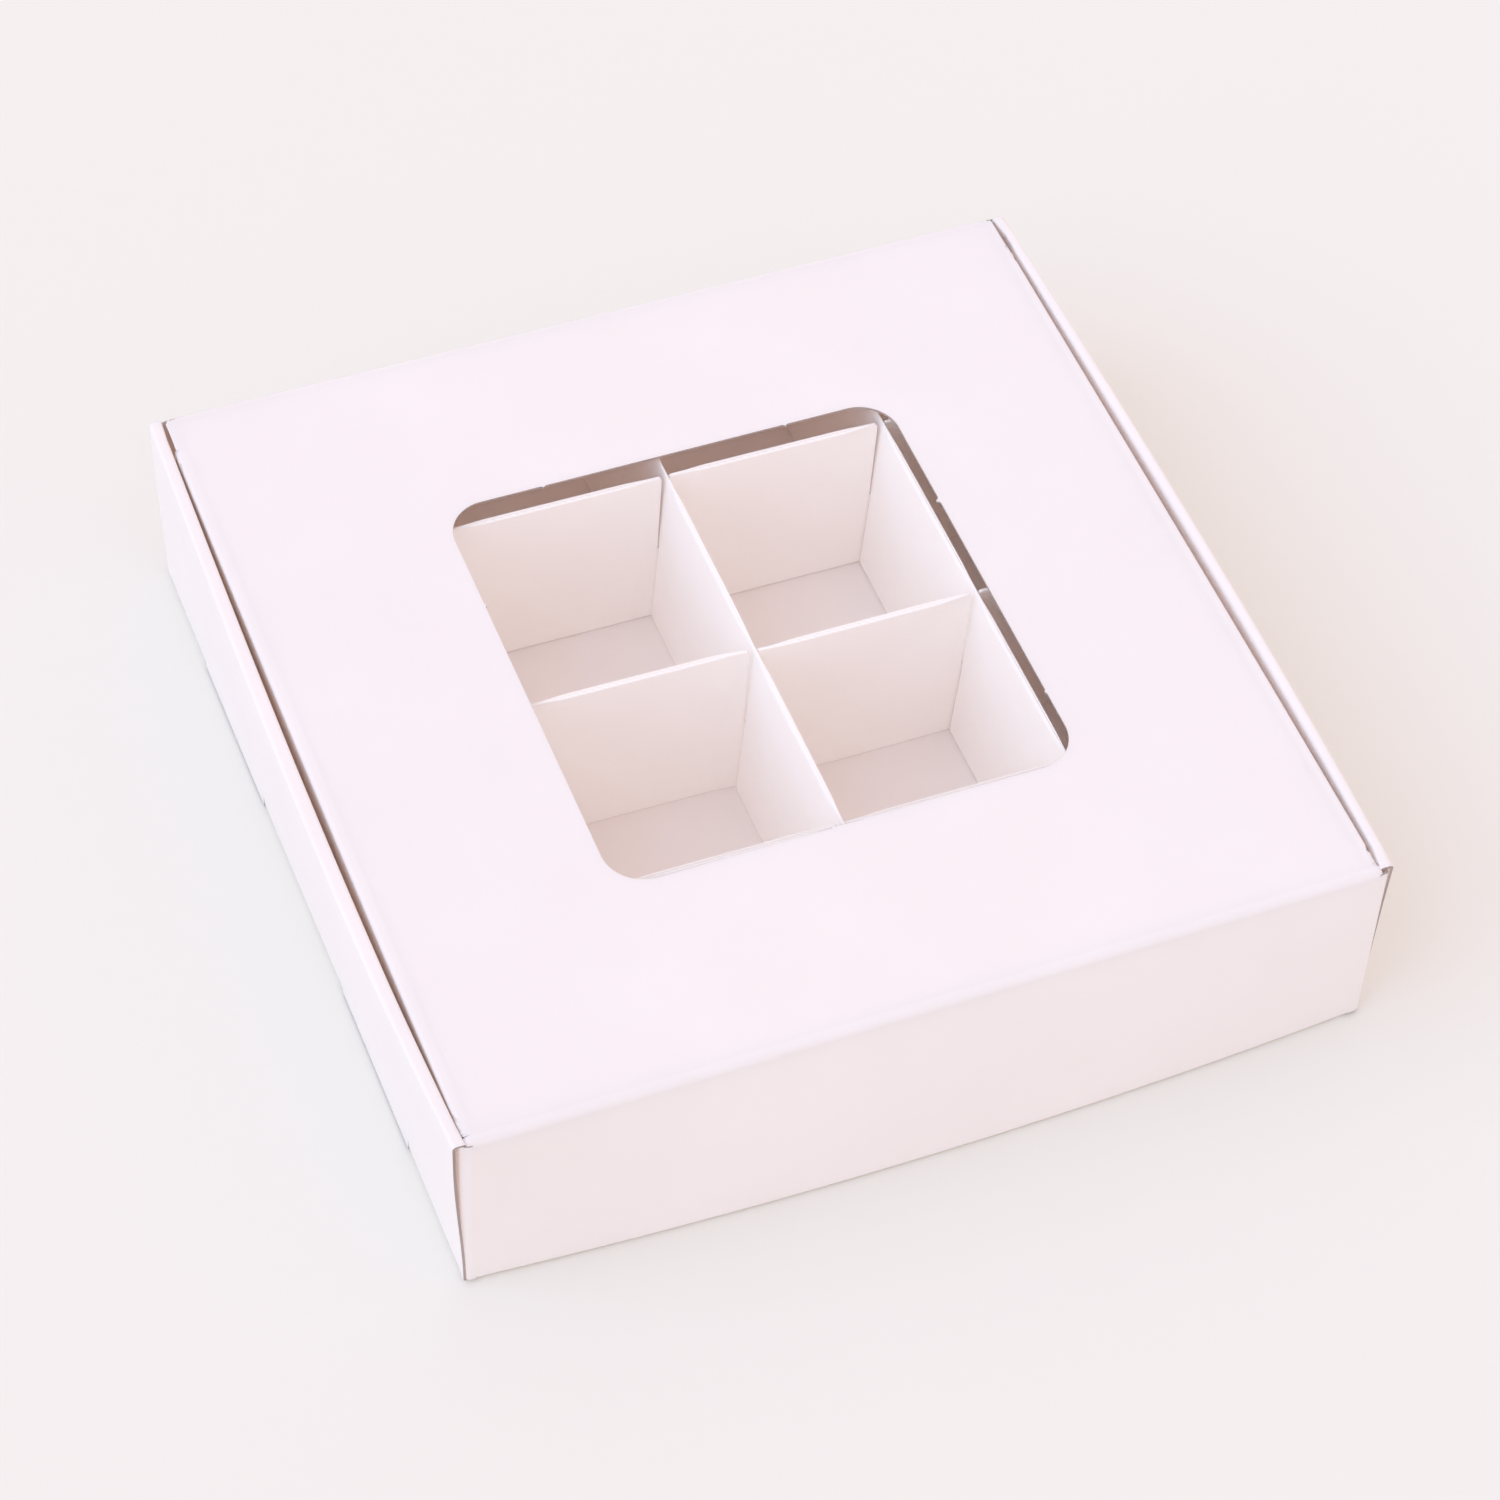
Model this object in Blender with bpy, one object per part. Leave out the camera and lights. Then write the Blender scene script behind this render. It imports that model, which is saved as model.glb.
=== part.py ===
"""Window gift box: a folded paperboard tray with a tuck-in lid, a film window and a sixteen-cell insert.

Lengths are in metres. +X points right as seen from the hinge side, +Y runs from the hinge wall to the
front wall, +Z points up, and the origin is the middle of the underside. The box is stored closed.
Each panel between two creases is its own object, and so are the glued film and the insert's six strips.
"""
from math import atan2, cos, pi, radians, sin

import bmesh
import bpy
from mathutils import Matrix, Vector

MM = 0.001

# Overall sizes: outer faces of the side walls at the base, of the hinge and front walls, and the lid's top
BOX_WIDTH = 181.6 * MM
BOX_DEPTH = 180.0 * MM
BOX_HEIGHT = 45.0 * MM

# Sheet materials
BOARD = 0.5 * MM
FILM = 0.2 * MM

# Gaps between pieces
SEAM = 0.2 * MM
GLUE_GAP = 0.1 * MM
LID_PLAY = 0.2 * MM
TUCK_PLAY = 0.3 * MM
FLAP_PLAY = 0.15 * MM
REST_GAP = 0.2 * MM

# The thin box has racked a little: the tops of its side walls, and the lid, lie this far towards -X
RACK = 0.45 * MM

# Side walls: how far their layers lean out towards the top, and how far they bow out half way along
WALL_LEAN = 0.9 * MM
FLAP_LEAN = 0.6 * MM
INNER_WALL_LEAN = 0.45 * MM
WALL_BOW = 1.9 * MM
WALL_END_SETBACK = 1.1 * MM
INNER_WALL_SETBACK = 4.0 * MM
BOW_STATIONS = 24

# Lock tabs of the inner walls, and the slots for them in the base
LOCK_CENTRE = 42.2 * MM
LOCK_SHIFT = 2.0 * MM
LOCK_LENGTH = 37.2 * MM
TAB_END_PLAY = 0.3 * MM
TAB_RISE = 0.1 * MM
TAB_ROOT = 0.4 * MM

# Corner flaps, from the hinge wall and the front wall into the hollow side walls
CORNER_FLAP_LENGTH = 42.0 * MM
CORNER_FLAP_TAPER = 9.0 * MM
CORNER_FLAP_FOOT = 0.3 * MM
FLAP_STATIONS = 8

# Front wall
FRONT_WALL_DROP = 1.3 * MM

# Lid, with the window's place measured from the lid's middle
CREASE_STEPS = 8
WINDOW_WIDTH = 93.0 * MM
WINDOW_DEPTH = 96.0 * MM
WINDOW_SHIFT_X = 1.25 * MM
WINDOW_SHIFT_Y = 0.9 * MM
WINDOW_CORNER = 8.0 * MM
CORNER_STEPS = 8
FILM_MARGIN = 6.0 * MM
CUT_OVERRUN = 1.0 * MM

# Tuck flap, which leans inwards so that it clears the front wall as the lid opens
TUCK_LENGTH = 18.0 * MM
TUCK_SIDE_SETBACK = 3.0 * MM
TUCK_CORNER = 12.0 * MM
TUCK_SPARE_LEAN = radians(0.4)

# Dust flaps
DUST_LENGTH = 18.0 * MM
DUST_HINGE_SETBACK = 1.5 * MM
DUST_FRONT_SETBACK = 8.0 * MM
DUST_TAPER = 6.0 * MM

# Insert: three strips along Y with slots from below, on three strips along X with slots from above
STRIP_PITCH = 45.9 * MM
STRIP_LEAN = 1.4 * MM
INSERT_SHIFT_X = -1.4 * MM
INSERT_SHIFT_Y = 0.1 * MM
INSERT_END_PLAY = 1.6 * MM
INSERT_LIFT_PLAY = 2.0 * MM
SLOT_PLAY = 0.2 * MM
SLOT_MOUTH_PLAY = 0.3 * MM
LAP_PLAY = 0.2 * MM
STRIP_INDICES = (-1, 0, 1)

# Levels
CREASE_RADIUS = BOARD / 2
CREASE_Z = BOX_HEIGHT - CREASE_RADIUS
PANEL_UNDERSIDE = BOX_HEIGHT - BOARD
WALL_TOP = PANEL_UNDERSIDE - SEAM
FILM_TOP = PANEL_UNDERSIDE - GLUE_GAP
BASE_TOP = BOARD
STRIP_BOTTOM = BASE_TOP + REST_GAP
STRIP_TOP = FILM_TOP - FILM - INSERT_LIFT_PLAY
STRIP_HEIGHT = STRIP_TOP - STRIP_BOTTOM

# Places across the box, from the outer wall inwards, at the base; the lid's own are from its middle
OUTER_FACE = BOX_WIDTH / 2
FLAP_FACE = OUTER_FACE - BOARD - SEAM
INNER_WALL_OUTER_FACE = FLAP_FACE - BOARD - FLAP_PLAY
INNER_WALL_FACE = INNER_WALL_OUTER_FACE - BOARD
SIDE_CREASE = INNER_WALL_FACE - LID_PLAY - CREASE_RADIUS
LID_HALF_WIDTH = SIDE_CREASE - CREASE_RADIUS - SEAM
CROSS_STRIP_END = SIDE_CREASE - CREASE_RADIUS - INSERT_END_PLAY
LID_MIDDLE = -RACK

# Places along the box, from the hinge wall to the front wall
HINGE_FACE = -BOX_DEPTH / 2
HINGE_CREASE = HINGE_FACE + CREASE_RADIUS
LID_HINGE_EDGE = HINGE_CREASE + CREASE_RADIUS + SEAM
FRONT_FACE = BOX_DEPTH / 2
TUCK_CREASE = FRONT_FACE - BOARD - TUCK_PLAY - CREASE_RADIUS
LID_FRONT_EDGE = TUCK_CREASE - CREASE_RADIUS - SEAM
TUCK_LEAN = atan2(TUCK_LENGTH, TUCK_CREASE - HINGE_CREASE) + TUCK_SPARE_LEAN
TUCK_REACH = TUCK_CREASE - CREASE_RADIUS - TUCK_LENGTH * sin(TUCK_LEAN)
LONG_STRIP_ENDS = (HINGE_FACE + BOARD + INSERT_END_PLAY, TUCK_REACH - INSERT_END_PLAY)
WALL_HALF_LENGTH = BOX_DEPTH / 2 - WALL_END_SETBACK
BASE_HALF_DEPTH = BOX_DEPTH / 2 - BOARD - SEAM
BASE_HALF_WIDTH = OUTER_FACE - BOARD - SEAM

WHITE_BOARD = (0.93, 0.90, 0.90, 1.0)
INNER_BOARD = (0.90, 0.86, 0.85, 1.0)
CLEAR_FILM = (0.95, 0.96, 0.97, 0.15)


def clear_scene():
    """Remove every object of the open file."""
    for item in list(bpy.data.objects):
        bpy.data.objects.remove(item, do_unlink=True)


def paint(item, colour, roughness):
    """Give an object its own Principled material."""
    material = bpy.data.materials.new(item.name)
    material.use_nodes = True
    shader = material.node_tree.nodes["Principled BSDF"]
    shader.inputs["Base Color"].default_value = colour
    shader.inputs["Roughness"].default_value = roughness
    shader.inputs["Metallic"].default_value = 0.0
    shader.inputs["Alpha"].default_value = colour[3]
    item.data.materials.append(material)
    return item


def solid(name, points, faces):
    """Make an object from points and faces, and turn its faces outwards."""
    mesh = bpy.data.meshes.new(name)
    work = bmesh.new()
    corners = [work.verts.new(point) for point in points]
    for face in faces:
        work.faces.new([corners[index] for index in face])
    bmesh.ops.recalc_face_normals(work, faces=work.faces)
    work.to_mesh(mesh)
    work.free()
    item = bpy.data.objects.new(name, mesh)
    bpy.context.collection.objects.link(item)
    return item


def loft(name, sections):
    """Join closed sections of equally many points into one solid, capped at both ends."""
    count = len(sections[0])
    points = [point for section in sections for point in section]
    faces = []
    for row in range(len(sections) - 1):
        for column in range(count):
            a = row * count + column
            b = row * count + (column + 1) % count
            faces.append((a, b, b + count, a + count))
    last = (len(sections) - 1) * count
    faces.append(tuple(range(count)))
    faces.append(tuple(range(last, last + count)))
    return solid(name, points, faces)


def between(low, high, count):
    """Evenly spaced values from low to high."""
    return [low + (high - low) * step / (count - 1) for step in range(count)]


def bow(y):
    """How far a side wall's top bows outwards at y: nothing at its ends, most half way."""
    return WALL_BOW * (1.0 - (y / WALL_HALF_LENGTH) ** 2)


def rise(z):
    """Height as a share of the box height."""
    return z / BOX_HEIGHT


def bowed_sheet(name, side, face, lean, stations, levels):
    """Upright board along Y whose outer face starts at `face`, leans by `lean`, bows and racks.

    stations are the places along Y, and levels(y) gives the bottom and top there.
    """
    sections = []
    for y in stations:
        low, high = levels(y)
        section = []
        for depth, z in ((0.0, low), (BOARD, low), (BOARD, high), (0.0, high)):
            x = face + rise(z) * (lean + bow(y)) - depth
            section.append(Vector((side * x - rise(z) * RACK, y, z)))
        sections.append(section)
    return loft(name, sections)


def plate(name, outline, low, high, lift):
    """Extrude an outline between two offsets; lift(u, v, w) gives the place of each point."""
    count = len(outline)
    points = [lift(u, v, w) for w in (low, high) for u, v in outline]
    faces = [tuple(range(count)), tuple(range(count, 2 * count))]
    for index in range(count):
        after = (index + 1) % count
        faces.append((index, after, after + count, index + count))
    return solid(name, points, faces)


def flat(u, v, w):
    """Lay an outline flat, with its thickness along Z."""
    return Vector((u, v, w))


def rounded_rectangle(width, depth, centre_x, centre_y, corner):
    """Outline with a quarter circle at each corner."""
    outline = []
    for quarter, (x, y) in enumerate(((1, 1), (-1, 1), (-1, -1), (1, -1))):
        middle_x = centre_x + x * (width / 2 - corner)
        middle_y = centre_y + y * (depth / 2 - corner)
        for step in range(CORNER_STEPS + 1):
            angle = (quarter + step / CORNER_STEPS) * pi / 2
            outline.append((middle_x + corner * cos(angle), middle_y + corner * sin(angle)))
    return outline


def rectangle(x_low, x_high, y_low, y_high):
    """Outline of a rectangle."""
    return [(x_low, y_low), (x_high, y_low), (x_high, y_high), (x_low, y_high)]


def box(name, x_range, y_range, z_range):
    """Block between three pairs of limits."""
    return plate(name, rectangle(*x_range, *y_range), *z_range, flat)


def combine(item, tool, operation):
    """Add a live EXACT boolean with a hidden tool."""
    tool.hide_render = True
    tool.display_type = "WIRE"
    change = item.modifiers.new(operation.lower(), "BOOLEAN")
    change.operation = operation
    change.solver = "EXACT"
    change.object = tool


def hinge_empty(name, place, parent=None):
    """Empty on a joint axis, which carries the pieces that turn or slide there."""
    empty = bpy.data.objects.new(name, None)
    bpy.context.collection.objects.link(empty)
    empty.location = place - (parent["place"] if parent else Vector((0, 0, 0)))
    if parent:
        empty.parent = parent["empty"]
    return {"empty": empty, "place": place}


def carry(item, hinge):
    """Hang a piece on an empty, with the piece's origin there."""
    item.data.transform(Matrix.Translation(-hinge["place"]))
    item.parent = hinge["empty"]
    return item


def crease_section(length, taper=0.0):
    """Section of a flap: a round bead on the crease, then board down to its end, as (across, down)."""
    points = []
    for step in range(CREASE_STEPS + 1):
        angle = pi * step / CREASE_STEPS
        points.append((CREASE_RADIUS * cos(angle), -CREASE_RADIUS * sin(angle)))
    points.append((-CREASE_RADIUS, length - taper))
    points.append((CREASE_RADIUS, length - taper))
    return points


def lock_spans(length):
    """Ends along Y of the two locks on a side, nearest the hinge wall first."""
    middles = (LOCK_SHIFT - LOCK_CENTRE, LOCK_SHIFT + LOCK_CENTRE)
    return [(middle - length / 2, middle + length / 2) for middle in middles]


def base_panel():
    """Floor of the box, with a lock slot notched into its side edges for each tab."""
    notch = INNER_WALL_FACE - SEAM
    edge = [(BASE_HALF_WIDTH, -BASE_HALF_DEPTH)]
    for start, stop in lock_spans(LOCK_LENGTH):
        edge += [(BASE_HALF_WIDTH, start), (notch, start), (notch, stop), (BASE_HALF_WIDTH, stop)]
    edge.append((BASE_HALF_WIDTH, BASE_HALF_DEPTH))
    outline = edge + [(-x, y) for x, y in reversed(edge)]
    return paint(plate("base_panel", outline, 0.0, BASE_TOP, flat), WHITE_BOARD, 0.6)


def hinge_wall():
    """Wall that the lid folds from, with the crease as a round bead along its top."""
    half = INNER_WALL_OUTER_FACE
    section = [(across, CREASE_Z - down) for across, down in crease_section(CREASE_Z)]
    rows = [[Vector((x, HINGE_CREASE + y, z)) for y, z in section] for x in (-half, half)]
    return paint(loft("hinge_wall", rows), WHITE_BOARD, 0.6)


def front_wall():
    """Single wall that the tuck flap slides down behind."""
    half = INNER_WALL_OUTER_FACE
    height = BOX_HEIGHT - FRONT_WALL_DROP
    item = box("front_wall", (-half, half), (FRONT_FACE - BOARD, FRONT_FACE), (0.0, height))
    return paint(item, WHITE_BOARD, 0.6)


def outer_wall(label, side):
    """Outer layer of a side wall, which leans and bows outwards towards its top."""
    stations = between(-WALL_HALF_LENGTH, WALL_HALF_LENGTH, BOW_STATIONS + 1)
    item = bowed_sheet(label + "_outer_wall", side, OUTER_FACE, WALL_LEAN, stations, lambda y: (0.0, WALL_TOP))
    return paint(item, WHITE_BOARD, 0.6)


def top_strip(label, side):
    """Narrow panel that rolls a side wall over from its outer to its inner layer."""
    stations = between(-WALL_HALF_LENGTH, WALL_HALF_LENGTH, BOW_STATIONS + 1)
    outside = [(side * (OUTER_FACE + WALL_LEAN + bow(y)) - RACK, y) for y in stations]
    inside = [(side * (INNER_WALL_FACE + INNER_WALL_LEAN + bow(y)) - RACK, y) for y in reversed(stations)]
    item = plate(label + "_top_strip", outside + inside, PANEL_UNDERSIDE, BOX_HEIGHT, flat)
    return paint(item, WHITE_BOARD, 0.6)


def inner_wall(label, side):
    """Inner layer of a side wall, with two tabs down into the lock slots of the base."""
    half = WALL_HALF_LENGTH - INNER_WALL_SETBACK
    bottom = BASE_TOP + SEAM
    stations = between(-half, half, BOW_STATIONS + 1)
    levels = (bottom, WALL_TOP)
    name = label + "_inner_wall"
    item = bowed_sheet(name, side, INNER_WALL_OUTER_FACE, INNER_WALL_LEAN, stations, lambda y: levels)
    across = sorted((side * INNER_WALL_FACE, side * INNER_WALL_OUTER_FACE))
    for place, span in zip(("near", "far"), lock_spans(LOCK_LENGTH - 2 * TAB_END_PLAY)):
        tab = box(f"{label}_{place}_tab", across, span, (TAB_RISE, bottom + TAB_ROOT))
        combine(item, tab, "UNION")
    return paint(item, WHITE_BOARD, 0.6)


def corner_flap(wall, wall_end, label, side):
    """Flap from an end of the hinge or front wall into the hollow of a side wall."""
    start = wall_end * BOX_DEPTH / 2
    stop = start - wall_end * CORNER_FLAP_LENGTH
    taper_start = stop + wall_end * CORNER_FLAP_TAPER
    low = BASE_TOP + CORNER_FLAP_FOOT

    def levels(y):
        cut = max(0.0, (taper_start - y) * wall_end)
        return low + cut, WALL_TOP - cut

    stations = between(start, taper_start, FLAP_STATIONS) + between(taper_start, stop, FLAP_STATIONS)[1:]
    name = f"{wall}_{label}_corner_flap"
    return paint(bowed_sheet(name, side, FLAP_FACE, FLAP_LEAN, stations, levels), WHITE_BOARD, 0.6)


def lid_panel():
    """Top of the box, with the window cut out of it."""
    sheet = (PANEL_UNDERSIDE, BOX_HEIGHT)
    across = (LID_MIDDLE - LID_HALF_WIDTH, LID_MIDDLE + LID_HALF_WIDTH)
    item = box("lid_panel", across, (LID_HINGE_EDGE, LID_FRONT_EDGE), sheet)
    middle_x = LID_MIDDLE + WINDOW_SHIFT_X
    outline = rounded_rectangle(WINDOW_WIDTH, WINDOW_DEPTH, middle_x, WINDOW_SHIFT_Y, WINDOW_CORNER)
    cutter = plate("window_cutter", outline, PANEL_UNDERSIDE - CUT_OVERRUN, BOX_HEIGHT + CUT_OVERRUN, flat)
    combine(item, cutter, "DIFFERENCE")
    return paint(item, WHITE_BOARD, 0.6), cutter


def window_film():
    """Clear film glued under the lid, wider than the window all round."""
    width = WINDOW_WIDTH + 2 * FILM_MARGIN
    depth = WINDOW_DEPTH + 2 * FILM_MARGIN
    middle_x = LID_MIDDLE + WINDOW_SHIFT_X
    x_range = (middle_x - width / 2, middle_x + width / 2)
    y_range = (WINDOW_SHIFT_Y - depth / 2, WINDOW_SHIFT_Y + depth / 2)
    return paint(box("window_film", x_range, y_range, (FILM_TOP - FILM, FILM_TOP)), CLEAR_FILM, 0.05)


def tuck_flap():
    """Flap at the lid's front edge, with rounded corners, leaning inwards from the crease."""
    half = LID_HALF_WIDTH - TUCK_SIDE_SETBACK
    arc = [TUCK_CORNER * (1.0 - cos(pi / 2 * step / CORNER_STEPS)) for step in range(CORNER_STEPS + 1)]
    places = [-half + inset for inset in arc] + [half - inset for inset in reversed(arc)]
    rows = []
    for x in places:
        short = max(0.0, TUCK_CORNER - (half - abs(x)))
        taper = TUCK_CORNER - (TUCK_CORNER ** 2 - short ** 2) ** 0.5
        row = []
        for across, down in crease_section(TUCK_LENGTH, taper):
            y = TUCK_CREASE + across * cos(TUCK_LEAN) - down * sin(TUCK_LEAN)
            z = CREASE_Z - down * cos(TUCK_LEAN) - across * sin(TUCK_LEAN)
            row.append(Vector((LID_MIDDLE + x, y, z)))
        rows.append(row)
    return paint(loft("tuck_flap", rows), WHITE_BOARD, 0.6)


def dust_flap(label, side):
    """Flap at a side edge of the lid, hanging inside the inner wall, with both ends tapered."""
    start = LID_HINGE_EDGE + DUST_HINGE_SETBACK
    stop = LID_FRONT_EDGE - DUST_FRONT_SETBACK
    rows = []
    for y, slant in ((start, 1.0), (stop, -1.0)):
        row = []
        for across, down in crease_section(DUST_LENGTH):
            slide = slant * DUST_TAPER * max(0.0, down) / DUST_LENGTH
            row.append(Vector((LID_MIDDLE + side * SIDE_CREASE + across, y + slide, CREASE_Z - down)))
        rows.append(row)
    return paint(loft(label + "_dust_flap", rows), WHITE_BOARD, 0.6)


def strip_places(shift):
    """Places of three strips across the insert."""
    return [shift + STRIP_PITCH * index for index in STRIP_INDICES]


def lean(z):
    """How far a strip along Y has leaned towards +X at height z."""
    return STRIP_LEAN * (z - STRIP_BOTTOM) / STRIP_HEIGHT


def long_strip(index):
    """Strip along Y with slots from below, leaning a little to the right in its slots."""
    x = strip_places(INSERT_SHIFT_X)[index + 1]
    near, far = LONG_STRIP_ENDS
    slot_top = STRIP_BOTTOM + STRIP_HEIGHT / 2 + LAP_PLAY
    slot = BOARD / 2 + SLOT_PLAY
    outline = [(far, STRIP_TOP), (near, STRIP_TOP), (near, STRIP_BOTTOM)]
    for y in strip_places(INSERT_SHIFT_Y):
        outline += [(y - slot, STRIP_BOTTOM), (y - slot, slot_top), (y + slot, slot_top), (y + slot, STRIP_BOTTOM)]
    outline.append((far, STRIP_BOTTOM))

    def lift(u, v, w):
        return Vector((x + w + lean(v), u, v))

    item = plate(f"long_strip_{index + 2}", outline, -BOARD / 2, BOARD / 2, lift)
    return paint(item, INNER_BOARD, 0.6)


def cross_strip(index):
    """Strip along X with slots from above, each wider at its mouth where the long strip leans."""
    y = strip_places(INSERT_SHIFT_Y)[index + 1]
    left_end, right_end = LID_MIDDLE - CROSS_STRIP_END, LID_MIDDLE + CROSS_STRIP_END
    slot_bottom = STRIP_BOTTOM + STRIP_HEIGHT / 2 - LAP_PLAY
    half = BOARD / 2
    outline = [(right_end, STRIP_BOTTOM), (left_end, STRIP_BOTTOM), (left_end, STRIP_TOP)]
    for x in strip_places(INSERT_SHIFT_X):
        left = x + lean(slot_bottom) - half - SLOT_PLAY
        right = x + lean(slot_bottom) + half + SLOT_PLAY
        mouth = x + lean(STRIP_TOP) + half + SLOT_MOUTH_PLAY
        outline += [(left, STRIP_TOP), (left, slot_bottom), (right, slot_bottom), (mouth, STRIP_TOP)]
    outline.append((right_end, STRIP_TOP))

    def lift(u, v, w):
        return Vector((u, y + w, v))

    item = plate(f"cross_strip_{index + 2}", outline, -half, half, lift)
    return paint(item, INNER_BOARD, 0.6)


def build():
    """Make every piece, and hang the moving ones on empties at their joints."""
    clear_scene()
    base_panel()
    hinge_wall()
    front_wall()
    for label, side in (("left", -1), ("right", 1)):
        outer_wall(label, side)
        top_strip(label, side)
        inner_wall(label, side)
        corner_flap("hinge", -1, label, side)
        corner_flap("front", 1, label, side)

    lid_hinge = hinge_empty("lid_hinge", Vector((0, HINGE_CREASE, CREASE_Z)))
    for item in (*lid_panel(), window_film()):
        carry(item, lid_hinge)
    carry(tuck_flap(), hinge_empty("tuck_flap_fold", Vector((0, TUCK_CREASE, CREASE_Z)), lid_hinge))
    for label, side in (("left", -1), ("right", 1)):
        crease = Vector((LID_MIDDLE + side * SIDE_CREASE, 0, CREASE_Z))
        carry(dust_flap(label, side), hinge_empty(label + "_dust_flap_fold", crease, lid_hinge))

    insert = hinge_empty("insert_lift", Vector((INSERT_SHIFT_X, INSERT_SHIFT_Y, STRIP_BOTTOM)))
    for index in STRIP_INDICES:
        carry(long_strip(index), insert)
        carry(cross_strip(index), insert)


build()
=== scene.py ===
# %% [markdown]
# # A window gift box folded from white board
# The object is a shallow square box, folded from one creased blank of thin paperboard. Its side walls are
# rolled over, its lid folds from the near wall, and a window in the lid shows a divider with sixteen cells.
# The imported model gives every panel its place. This lesson turns those flat panels into sheets that bend
# round their creases, with cut edges, slots, a clear film and the soft light of a product photograph.

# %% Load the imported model
from math import cos, pi, radians, sin, tan

import bmesh
import bpy
import numpy as np
from mathutils import Matrix, Vector


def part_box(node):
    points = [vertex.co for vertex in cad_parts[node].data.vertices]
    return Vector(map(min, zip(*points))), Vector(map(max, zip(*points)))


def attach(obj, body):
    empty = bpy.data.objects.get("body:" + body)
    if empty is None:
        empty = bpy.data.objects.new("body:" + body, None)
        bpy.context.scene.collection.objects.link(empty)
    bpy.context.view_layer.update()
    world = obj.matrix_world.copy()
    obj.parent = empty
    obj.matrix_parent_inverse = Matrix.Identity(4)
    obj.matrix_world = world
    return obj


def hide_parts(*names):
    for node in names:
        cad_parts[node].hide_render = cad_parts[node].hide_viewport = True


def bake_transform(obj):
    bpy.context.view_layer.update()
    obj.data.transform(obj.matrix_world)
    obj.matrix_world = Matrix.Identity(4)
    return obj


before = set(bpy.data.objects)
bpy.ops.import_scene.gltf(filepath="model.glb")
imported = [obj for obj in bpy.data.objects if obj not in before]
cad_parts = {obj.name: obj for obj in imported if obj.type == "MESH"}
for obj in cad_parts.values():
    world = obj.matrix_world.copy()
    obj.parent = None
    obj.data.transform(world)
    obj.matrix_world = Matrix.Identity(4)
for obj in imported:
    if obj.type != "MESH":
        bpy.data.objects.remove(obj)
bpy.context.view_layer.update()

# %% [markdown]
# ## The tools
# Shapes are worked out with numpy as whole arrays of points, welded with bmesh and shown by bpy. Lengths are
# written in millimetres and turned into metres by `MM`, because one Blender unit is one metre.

MM = 0.001
scene = bpy.context.scene

# %% [markdown]
# ## The camera
# The photograph looks down on the box from beyond its near left corner, with a long lens. The three angles
# turn a camera that starts level and facing +Y: yaw to the right, pitch down, and a small roll. The focal
# length is given in pixels of the square photograph, so the lens follows from the sensor's width.

# %% Place the camera
PHOTO_SIDE = 1500
FOCAL_PIXELS = 4258.2
SENSOR = 36.0
camera_place = np.array([-0.22595, -0.46811, 0.66344])
yaw, pitch, roll = radians(25.896), radians(51.479), radians(5.322)

forward = np.array([sin(yaw) * cos(pitch), cos(yaw) * cos(pitch), -sin(pitch)])
level = np.array([cos(yaw), -sin(yaw), 0.0])
upright = np.cross(level, forward)
camera_right = cos(roll) * level + sin(roll) * upright
camera_up = -sin(roll) * level + cos(roll) * upright

camera = bpy.data.objects.new("camera", bpy.data.cameras.new("camera"))
scene.collection.objects.link(camera)
camera_turn = np.eye(4)
camera_turn[:3, :] = np.stack([camera_right, camera_up, -forward, camera_place], axis=1)
camera.matrix_world = Matrix(camera_turn.tolist())
camera.data.sensor_width = SENSOR
camera.data.lens = FOCAL_PIXELS * SENSOR / PHOTO_SIDE
camera.data.clip_start, camera.data.clip_end = 0.01, 20.0
scene.camera = camera
print("lens in millimetres:", round(camera.data.lens, 2))

# %% [markdown]
# ## The measures of the board
# A folded sheet is easiest to think of as its middle surface, half a board's thickness inside each face.
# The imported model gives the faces, so the middle lines of all the panels follow from the boxes of its nodes.
# The whole box is a little racked: its top stands to the left of its base. What is measured from the lid's
# middle therefore lies to the left by that rack.

# %% Read the panels' places
lid_low, lid_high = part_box("lid_panel")
left_top, right_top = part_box("left_top_strip"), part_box("right_top_strip")
outer_low, outer_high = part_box("right_outer_wall")
dust_low, dust_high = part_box("right_dust_flap")

TOP = lid_high.z
BOARD = lid_high.z - lid_low.z
HALF = BOARD / 2
SHEET_TOP = TOP - HALF
LID_MIDDLE = (lid_low.x + lid_high.x) / 2
HINGE_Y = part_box("hinge_wall")[0].y + HALF
WALL_X = outer_low.x + HALF
INNER_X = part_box("right_inner_wall")[0].x + HALF
WALL_END = outer_high.y
BOW = 1.9 * MM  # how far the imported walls' tops bow out half way along
RACK = -(left_top[0].x + right_top[1].x) / 2
LEAN = (right_top[1].x - left_top[0].x) / 2 - WALL_X - HALF - BOW
SIDE_CREASE = (dust_low.x + dust_high.x) / 2 - LID_MIDDLE
TUCK_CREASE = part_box("tuck_flap")[1].y - HALF
print("board", round(BOARD / MM, 3), "rack", round(RACK / MM, 3), "lean", round(LEAN / MM, 3))


# %% [markdown]
# ## From a grid of points to a sheet of board
# Every panel starts as a grid of points: a function of two parameters, or a profile carried along a path.
# `quads` numbers the four corners of each cell, and `stitched` puts several grids into one list of points.
# A subdivided plane would give the same cells, but here the edges fall exactly on creases and cuts.

# %% Grids of points
def quads(rows, columns):
    """Corner numbers of every cell of a grid, row by row."""
    number = np.arange(rows * columns).reshape(rows, columns)
    corners = (number[:-1, :-1], number[:-1, 1:], number[1:, 1:], number[1:, :-1])
    return np.stack(corners, axis=-1).reshape(-1, 4)


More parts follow.
